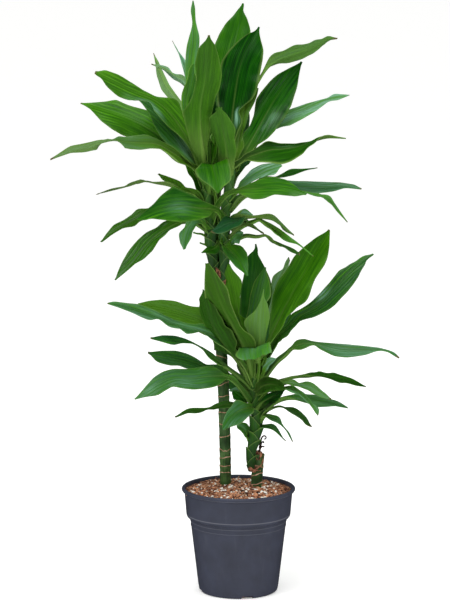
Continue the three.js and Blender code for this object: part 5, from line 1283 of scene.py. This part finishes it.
# its leaves, each given as the left shoot's are
SHORT_LEAVES = [
    ["tall_front", (90, 0.1, 0.5, 2), [150, 150], (8, -130), (0.64, -0.35, -0.6, 0, 0.1),
     [[26, 400], [16, 445], [-6, 490], [-30, 535], [-48, 580], [-60, 614]],
     [[[-8, 446], [-16, 456], [-26, 463], [-38, 470], [-47, 480], [-54, 497], [-60, 530], [-63, 565],
       [-62, 600], [-60, 614]],
      [[31, 455], [32, 468], [27, 478], [20, 484], [12, 488], [4, 497], [-3, 512], [-14, 540], [-20, 568],
       [-32, 583], [-45, 602], [-52, 611], [-60, 614]]],
     {"ribs": 0.25, "margin": 0.7, "curl": [(-1, 0.3, 0.7, 60)]}],
    ["waved_left", (60, 0.14, 0.45, 3), [140, 140], (10, -80), (0.72, -0.1, -0.6, 0, 0.1),
     [[24, 380], [4, 424], [-22, 456], [-48, 500], [-60, 535], [-65, 566]],
     [[[15, 402], [8, 413], [0, 425], [-8, 432], [-22, 440], [-38, 448], [-45, 453], [-45, 463], [-50, 478],
       [-60, 495], [-70, 515], [-73, 530], [-71, 540], [-73, 548], [-65, 563]],
      [[16, 407], [8, 419], [0, 430], [-7, 440], [-5, 450]]], {"ribs": 0.3}],
    ["tall_back", (60, 0.12, 0.55, 1), [160, 165], (14, -10), (0.15, -0.2, -0.6, 0, 0.1),
     [[26, 415], [12, 470], [0, 520], [-10, 570], [-19, 613]],
     [[[-15, 607], [0, 590], [7, 582], [3, 560], [3, 540], [0, 500]]], {}],
    ["dark_back", (62, 0.12, 0.6, 2), [20, 15], (12, 120), (0.36, 0.25, 0, 0, 0.4),
     [[32, 425], [30, 510], [32, 590], [34, 625], [31, 650]],
     [[[3, 520], [3, 565], [9, 590], [14, 620], [19, 634], [28, 636], [31, 650]],
      [[58, 540], [62, 565], [58, 585], [48, 607], [40, 622], [34, 632], [36, 640], [31, 650]]], {}],
    ["centre", (46, 0.12, 0.5, 2), [35, 40], (6, 40), (0.1, 0.2, 0.15, 0, 0.4),
     [[32, 430], [28, 505], [38, 560], [49, 607]],
     [[[14, 515], [18, 530], [20, 550], [28, 580], [35, 590], [48, 607]],
      [[60, 550], [58, 575], [50, 600], [48, 606]]], {"ribs": 0.4, "margin": 1}],
    ["young", (44, 0.12, 0.5, 1), [150, 150], (2, -50), (0.14, -0.3, 0.12, 0, 0.45),
     [[36, 430], [38, 475], [40, 520], [46, 566]],
     [[[8, 500], [12, 512], [30, 525], [38, 540], [42, 552], [46, 566]],
      [[45, 460], [52, 490], [58, 515], [53, 540], [47, 550], [46, 566]]], {"ribs": 0.3}],
    ["big_right", (72, 0.12, 0.55, 2), [20, 20], (6, 80), (0.3, -0.15, -0.7, 0.01, 0.3),
     [[38, 425], [65, 490], [93, 548], [122, 600], [146, 643], [166, 676]],
     [[[55, 470], [60, 530], [62, 555], [72, 582], [85, 598], [92, 610], [100, 625], [107, 633], [120, 645],
       [140, 661], [166, 676]],
      [[84, 505], [88, 515], [102, 526], [108, 534], [116, 537], [125, 545], [130, 555], [135, 572],
       [140, 585], [150, 600], [158, 612], [163, 625], [166, 645], [167, 676]]], {"ribs": 0.2}],
    ["glossy_right", (60, 0.08, 0.58, 2), [40, 40], (12, 120), (0.34, 0.05, 0.1, 0, 0.4),
     [[40, 405], [56, 445], [72, 478], [90, 495], [110, 516], [135, 530], [160, 550], [185, 577],
      [205, 598], [228, 618], [247, 631]],
     [[[60, 478], [68, 491], [80, 497], [90, 505], [95, 519], [104, 525], [115, 530], [125, 537],
       [137, 546], [150, 560], [165, 577], [178, 593], [184, 602], [195, 606], [205, 614], [213, 617],
       [222, 624], [230, 629], [247, 631]],
      [[62, 450], [70, 462], [74, 472], [85, 476], [92, 482], [96, 490], [105, 498], [112, 507], [120, 510],
       [135, 513], [150, 520], [165, 528], [178, 538], [190, 552], [200, 562], [210, 575], [220, 590],
       [224, 600], [232, 612], [234, 620], [247, 630]]], {"ribs": 1, "wax": [(0.62, 0.6, 0.05, 1)]}],
    ["stalked_right", (60, 0.32, 0.6, 1), [40, 35, 40], (8, -70), (0.45, 0.2, 0.4, 0.03, 0.5),
     [[40, 385], [52, 406], [70, 430], [86, 444], [99, 457], [120, 465], [140, 465], [170, 455], [200, 451],
      [235, 452], [262, 454], [282, 449], [296, 438]],
     [[[99, 460], [102, 468], [108, 473], [116, 473], [121, 475], [126, 472], [138, 469], [160, 467],
       [200, 464], [240, 460], [262, 457], [280, 452], [290, 447], [296, 439]],
      [[100, 456], [112, 454], [122, 457], [130, 462], [139, 464], [150, 455], [162, 449], [175, 442],
       [190, 440], [200, 439], [215, 441], [235, 444], [250, 450], [262, 452], [276, 449], [288, 441],
       [296, 437]]], {}],
    ["long_right", (34, 0.3, 0.45, 1), [62, 62], (12, 90), (0.6, -0.1, 0, 0.02, 0.4),
     [[34, 365], [60, 388], [78, 396], [92, 401], [110, 404], [130, 404], [150, 406], [175, 402],
      [195, 399], [215, 393], [235, 385]],
     [[[88, 402], [100, 405], [112, 406], [128, 410], [133, 412], [142, 411], [150, 415], [157, 411],
       [168, 410], [176, 412], [183, 408], [195, 405], [210, 400], [222, 393], [235, 385]],
      [[90, 400], [108, 402], [115, 399], [130, 397], [145, 399], [152, 400], [170, 398], [176, 392],
       [186, 390], [195, 392], [205, 390], [218, 386], [235, 384]]], {"ribs": 0.4}],
    ["olive_right", (34, 0.3, 0.5, 1), [60, 60], (6, -60), (0.2, -0.5, 0.4, 0.02, 0.4),
     [[34, 355], [52, 376], [76, 388], [92, 392], [106, 390], [120, 388], [135, 384], [150, 375],
      [171, 361]],
     [[[80, 392], [93, 398], [105, 398], [111, 390], [118, 393], [123, 395], [132, 394], [140, 390],
       [148, 383], [156, 375], [161, 373], [171, 361]],
      [[80, 386], [92, 384], [100, 387], [108, 386], [120, 381], [130, 377], [137, 372], [145, 368],
       [155, 364], [171, 360]]], {}],
    ["twisted_right", (34, 0.3, 0.5, 1), [50, 50], (4, -50), (-0.2, -0.1, 0.5, 0.03, 0.4),
     [[34, 345], [60, 370], [80, 380], [95, 382], [108, 377], [120, 367], [128, 360], [136, 351],
      [143, 341], [147, 330]],
     [[[80, 384], [97, 387], [104, 386], [108, 381], [115, 377], [124, 372], [127, 365], [134, 359],
       [138, 352], [144, 350], [149, 344], [150, 337], [147, 330]],
      [[80, 379], [90, 378], [97, 374], [103, 371], [112, 371], [116, 366], [124, 358], [132, 351],
       [138, 342], [143, 333], [147, 330]]], {}],
    ["teal_right", (40, 0.2, 0.5, 1), [50, 50], (12, 80), (0.17, 0.35, 0.3, 0, 0.4),
     [[33, 322], [50, 341], [70, 356], [90, 362], [110, 363], [140, 359], [170, 354], [202, 345]],
     [[[66, 357], [78, 365], [90, 368], [100, 370], [118, 374], [126, 370], [140, 370], [150, 367],
       [158, 363], [172, 361], [180, 359], [190, 354], [202, 346]],
      [[65, 353], [82, 353], [92, 356], [105, 357], [115, 355], [125, 350], [135, 348], [150, 346],
       [165, 347], [180, 348], [188, 346], [202, 344]]], {}],
    ["broad_front", (60, 0.12, 0.55, 3), [20, 20], (6, -150), (0.88, -0.2, -0.4, 0, 0.3),
     [[30, 372], [42, 384], [56, 389], [70, 388], [85, 380]],
     [[[36, 392], [40, 399], [50, 405], [57, 403], [70, 400], [78, 395], [84, 392], [85, 380]],
      [[36, 368], [50, 373], [60, 377], [75, 378], [85, 378]]], {}],
    ["broad_under", (44, 0.12, 0.5, 2), [160, 160], (8, -120), (0.9, 0, -0.5, 0, 0),
     [[31, 338], [44, 356], [58, 364], [70, 370], [85, 379]],
     [[[36, 352], [42, 362], [52, 371], [68, 377], [85, 380]],
      [[42, 350], [52, 353], [62, 353], [72, 357], [80, 368], [85, 378]]], {}],
    ["arching_right", (28, 0.25, 0.55, 1), [50, 50], (6, -60), (0.7, -0.2, 0.05, 0.04, 0.4),
     [[31, 312], [50, 338], [62, 345], [75, 348], [88, 345], [102, 340], [115, 331], [126, 320],
      [136, 309]],
     [[[50, 340], [60, 346], [72, 350], [85, 346], [100, 347], [108, 343], [113, 340], [120, 333],
       [127, 326], [131, 317], [136, 309]],
      [[50, 336], [60, 342], [75, 347], [85, 344], [92, 338], [102, 332], [110, 327], [118, 322],
       [123, 314], [128, 310], [136, 308]]], {}],
    ["low_right", (24, 0.25, 0.5, 1), [45, 45], (8, -60), (0.31, 0.2, 0.25, 0.04, 0.4),
     [[33, 306], [42, 322], [50, 331], [62, 328], [75, 321], [85, 308], [94, 297], [101, 281]],
     [[[50, 333], [58, 334], [65, 331], [72, 331], [78, 325], [80, 316], [88, 306], [96, 296], [101, 281]],
      [[50, 329], [57, 323], [67, 318], [77, 314], [84, 307], [90, 299], [94, 290], [101, 281]]], {}],
    ["lowest_right", (20, 0.2, 0.55, 1), [50, 50], (10, -30), (0.36, 0.1, 0.15, 0.04, 0.4),
     [[28, 288], [36, 303], [45, 311], [55, 311], [66, 306], [76, 296], [88, 282]],
     [[[36, 306], [45, 315], [52, 312], [60, 317], [68, 313], [75, 303], [80, 293], [88, 282]],
      [[36, 302], [50, 307], [62, 304], [72, 297], [80, 288], [88, 281]]], {}],
    ["lowest_left", (24, 0.3, 0.6, 1), [30, 30], (8, -20), (0.24, -0.1, 0.25, 0, 0.4),
     [[22, 280], [14, 298], [6, 308], [-3, 309]],
     [[[19, 312], [14, 317], [7, 317], [0, 315], [-3, 311]],
      [[14, 287], [8, 297], [3, 302], [-3, 307]]], {"margin": 0.7}],
    ["glaucous_front", (56, 0.12, 0.55, 2), [25, 25], (6, -90), (0.3, 0.3, 0.25, 0, 0.4),
     [[32, 345], [15, 344], [0, 338], [-14, 325], [-28, 304]],
     [[[25, 352], [12, 354], [3, 358], [-2, 362], [-4, 365], [-8, 357], [-12, 349], [-22, 338], [-28, 322],
       [-30, 313], [-28, 304]],
      [[24, 333], [20, 330], [12, 322], [5, 315], [-5, 311], [-15, 309], [-23, 306], [-28, 304]]],
     {"margin": 0.6}],
    ["small_upper", (26, 0.2, 0.5, 1), [45, 45], (12, 10), (-0.1, 0, 1.5, 0, 0.6),
     [[29, 350], [14, 369], [2, 379], [-8, 380], [-17, 377]],
     [[[14, 372], [8, 376], [0, 384], [-5, 384], [-12, 381], [-17, 377]],
      [[12, 367], [3, 373], [-6, 376], [-11, 374], [-17, 376]]], {}],
    ["small_lower", (36, 0.15, 0.5, 1), [30, 30], (6, -20), (0.6, 0.1, -0.4, 0, 0.4),
     [[28, 340], [16, 352], [8, 362], [-2, 370], [-11, 377]],
     [[[17, 363], [14, 366], [8, 371], [0, 375], [-11, 378]],
      [[16, 352], [6, 355], [-1, 358], [-6, 361], [-10, 357], [-11, 377]]], {}],
    ["thin_left", (28, 0.12, 0.3, 1), [45, 45], (6, -50), (0.43, -0.2, 0.05, 0.03, 0.4),
     [[24, 340], [-5, 350], [-25, 351], [-42, 346], [-58, 343], [-75, 340], [-95, 339], [-118, 328]],
     [[[-8, 355], [-15, 357], [-25, 358], [-35, 355], [-45, 352], [-49, 348], [-56, 345], [-70, 345],
       [-88, 345], [-97, 342], [-105, 337], [-112, 332], [-118, 328]],
      [[-8, 346], [-20, 345], [-30, 344], [-37, 344], [-45, 341], [-56, 342], [-60, 341], [-68, 336],
       [-75, 335], [-82, 334], [-95, 335], [-103, 331], [-112, 328], [-118, 328]]], {}],
    ["big_left", (60, 0.22, 0.5, 2), [32, 32], (8, -110), (0.36, 0.2, 0.15, 0, 0.3),
     [[29, 345], [14, 366], [-2, 388], [-20, 402], [-48, 404], [-85, 400], [-122, 400], [-150, 388],
      [-175, 372], [-192, 361]],
     [[[-22, 405], [-37, 417], [-49, 424], [-66, 422], [-96, 418], [-122, 418], [-140, 413], [-158, 401],
       [-176, 380], [-192, 361]],
      [[-20, 403], [-28, 395], [-40, 386], [-54, 382], [-84, 379], [-108, 382], [-122, 385], [-137, 376],
       [-149, 368], [-173, 365], [-192, 360]]],
     {"ribs": 0.5, "wax": [(0.9, 0, 0.08, 0.5), (0.62, 0.4, 0.1, 0.4)]}],
    ["teal_left", (40, 0.2, 0.5, 1), [40, 40], (14, -30), (0.36, 0.25, 0.12, 0.01, 0.4),
     [[27, 368], [5, 389], [-25, 405], [-55, 419], [-80, 430], [-110, 438], [-167, 449]],
     [[[-56, 423], [-69, 432], [-81, 440], [-96, 447], [-114, 452], [-140, 452], [-158, 450], [-167, 449]],
      [[-56, 418], [-84, 418], [-99, 419], [-108, 424], [-126, 424], [-146, 429], [-155, 434], [-162, 445],
       [-167, 448]]], {"ribs": 0.5}],
    ["stalked_left", (32, 0.3, 0.5, 1), [45, 45], (10, -90), (0.53, 0.2, 0.08, 0.01, 0.4),
     [[27, 375], [15, 391], [-5, 408], [-30, 427], [-55, 446], [-69, 458], [-90, 468], [-118, 471],
      [-162, 475]],
     [[[-20, 424], [-35, 436], [-50, 449], [-67, 459], [-84, 468], [-99, 475], [-117, 480], [-140, 481],
       [-162, 476]],
      [[-28, 418], [-42, 430], [-55, 439], [-67, 456], [-84, 465], [-105, 466], [-120, 462], [-140, 468],
       [-162, 474]]], {"ribs": 0.4}],
    ["broad_left", (56, 0.15, 0.55, 2), [38, 38], (14, -30), (-0.1, -0.5, 0.05, 0, 0.3),
     [[28, 395], [10, 430], [-20, 468], [-50, 500], [-95, 519], [-140, 532], [-185, 539]],
     [[[-60, 533], [-84, 534], [-99, 538], [-117, 545], [-143, 547], [-164, 545], [-185, 540]],
      [[-60, 480], [-100, 500], [-140, 516], [-164, 530], [-185, 537]]], {"ribs": 0.9}],
    ["long_left", (50, 0.15, 0.55, 1), [40, 35, 38, 72, 38, 35], (8, -90), (0.28, 0.2, 0.35, 0.01, 0.4),
     [[27, 388], [10, 423], [-18, 456], [-45, 478], [-78, 491], [-115, 500], [-150, 515], [-205, 532],
      [-241, 540]],
     [[[-66, 504], [-81, 501], [-99, 504], [-126, 513], [-146, 523], [-164, 532], [-185, 539], [-208, 541],
       [-229, 544], [-241, 541]],
      [[-54, 477], [-69, 488], [-84, 484], [-102, 483], [-117, 489], [-131, 498], [-146, 512], [-164, 508],
       [-182, 516], [-199, 524], [-220, 532], [-241, 539]]], {"ribs": 0.6, "margin": 0.8}],
    ["front_bent", (76, 0.1, 0.5, 1), [180, 0], (4, -60), (0.22, 0.05, 0.2, 0, 0.6),
     [[34, 432], [30, 457], [29, 450], [32, 437]],
     [[[10, 452], [2, 451], [-6, 449], [-8, 446], [-4, 440]],
      [[50, 462], [58, 463], [61, 452], [58, 440], [54, 437]]], {"cut": 0.9, "ragged": 4, "margin": 0.6}],
    ["pale_lobe", (22, 0.3, 0.5, 1), [30, 30], (10, -30), (-0.9, 0, 1.4, 0, 0.5),
     [[42, 400], [50, 418], [58, 430], [68, 437]],
     [[[50, 425], [52, 438], [60, 440], [68, 438]],
      [[55, 422], [62, 428], [68, 436]]], {}],
    ["petiole_1", (8, 0.9, 0.5, 0), [20, 20], (4, -6), (-0.5, -0.3, 0.5, 0, 0.2),
     [[24, 385], [19, 410], [15, 440]], [], {}],
    ["petiole_2", (8, 0.9, 0.5, 0), [20, 20], (10, -6), (0.75, -0.1, -0.3, 0, 0.2),
     [[25, 385], [24, 410], [22, 445]], [], {}],
    ["petiole_3", (8, 0.9, 0.5, 0), [20, 20], (5, -6), (0.35, -0.6, -0.3, 0, 0.2),
     [[27, 385], [28, 410], [28, 445]], [], {}],
    ["petiole_4", (8, 0.9, 0.5, 0), [20, 20], (11, -6), (0.8, -0.1, -0.3, 0, 0.2),
     [[30, 385], [33, 410], [34, 445]], [], {}],
    ["petiole_5", (7, 0.9, 0.5, 0), [20, 20], (5, -6), (0.2, -0.3, 0.1, 0, 0.2),
     [[31, 385], [36, 408], [39, 445]], [], {}],
    ["petiole_6", (8, 0.9, 0.5, 0), [20, 20], (12, -4), (0.85, 0, -0.3, 0, 0.2),
     [[34, 385], [41, 410], [45, 442]], [], {}],
    ["petiole_7", (6, 0.9, 0.5, 0), [20, 20], (6, -4), (0.25, -0.2, 0.1, 0, 0.2),
     [[34, 388], [44, 410], [50, 440]], [], {}],
    ["back_pale", (44, 0.2, 0.55, 1), [118, 118], (18, 90), (-0.7, -0.2, 0.5, 0.02, 0.6),
     [[38, 425], [50, 500], [62, 560], [78, 594], [92, 625]],
     [[[58, 555], [60, 580], [62, 590], [75, 601], [80, 601], [84, 612], [86, 619], [92, 625]],
      [[78, 565], [86, 595], [92, 612], [94, 618], [92, 625]]], {}],
    ["rear_high", (52, 0.12, 0.55, 3), [10, 10], (12, 200), (0.5, 0, 0.1, 0.02, 0.5),
     [[30, 400], [22, 470], [16, 530], [14, 562]], [], {}],
    ["rear_right", (48, 0.12, 0.55, 3), [20, 15], (12, 190), (0.5, 0, 0.1, 0.02, 0.5),
     [[34, 405], [58, 475], [82, 525], [98, 542]], [], {}],
    ["rear_low", (32, 0.15, 0.55, 2), [15, 10], (12, 170), (0.55, 0, 0.1, 0.02, 0.5),
     [[32, 335], [44, 372], [56, 386], [64, 374]], [], {}],
    ["rear_left", (32, 0.15, 0.55, 2), [25, 20], (14, 150), (0.55, 0, 0.1, 0.02, 0.5),
     [[28, 345], [4, 380], [-22, 396], [-48, 398]], [], {}],
]
grow_leaves("short_", SHORT_LEAVES, "short_shoot", 103)
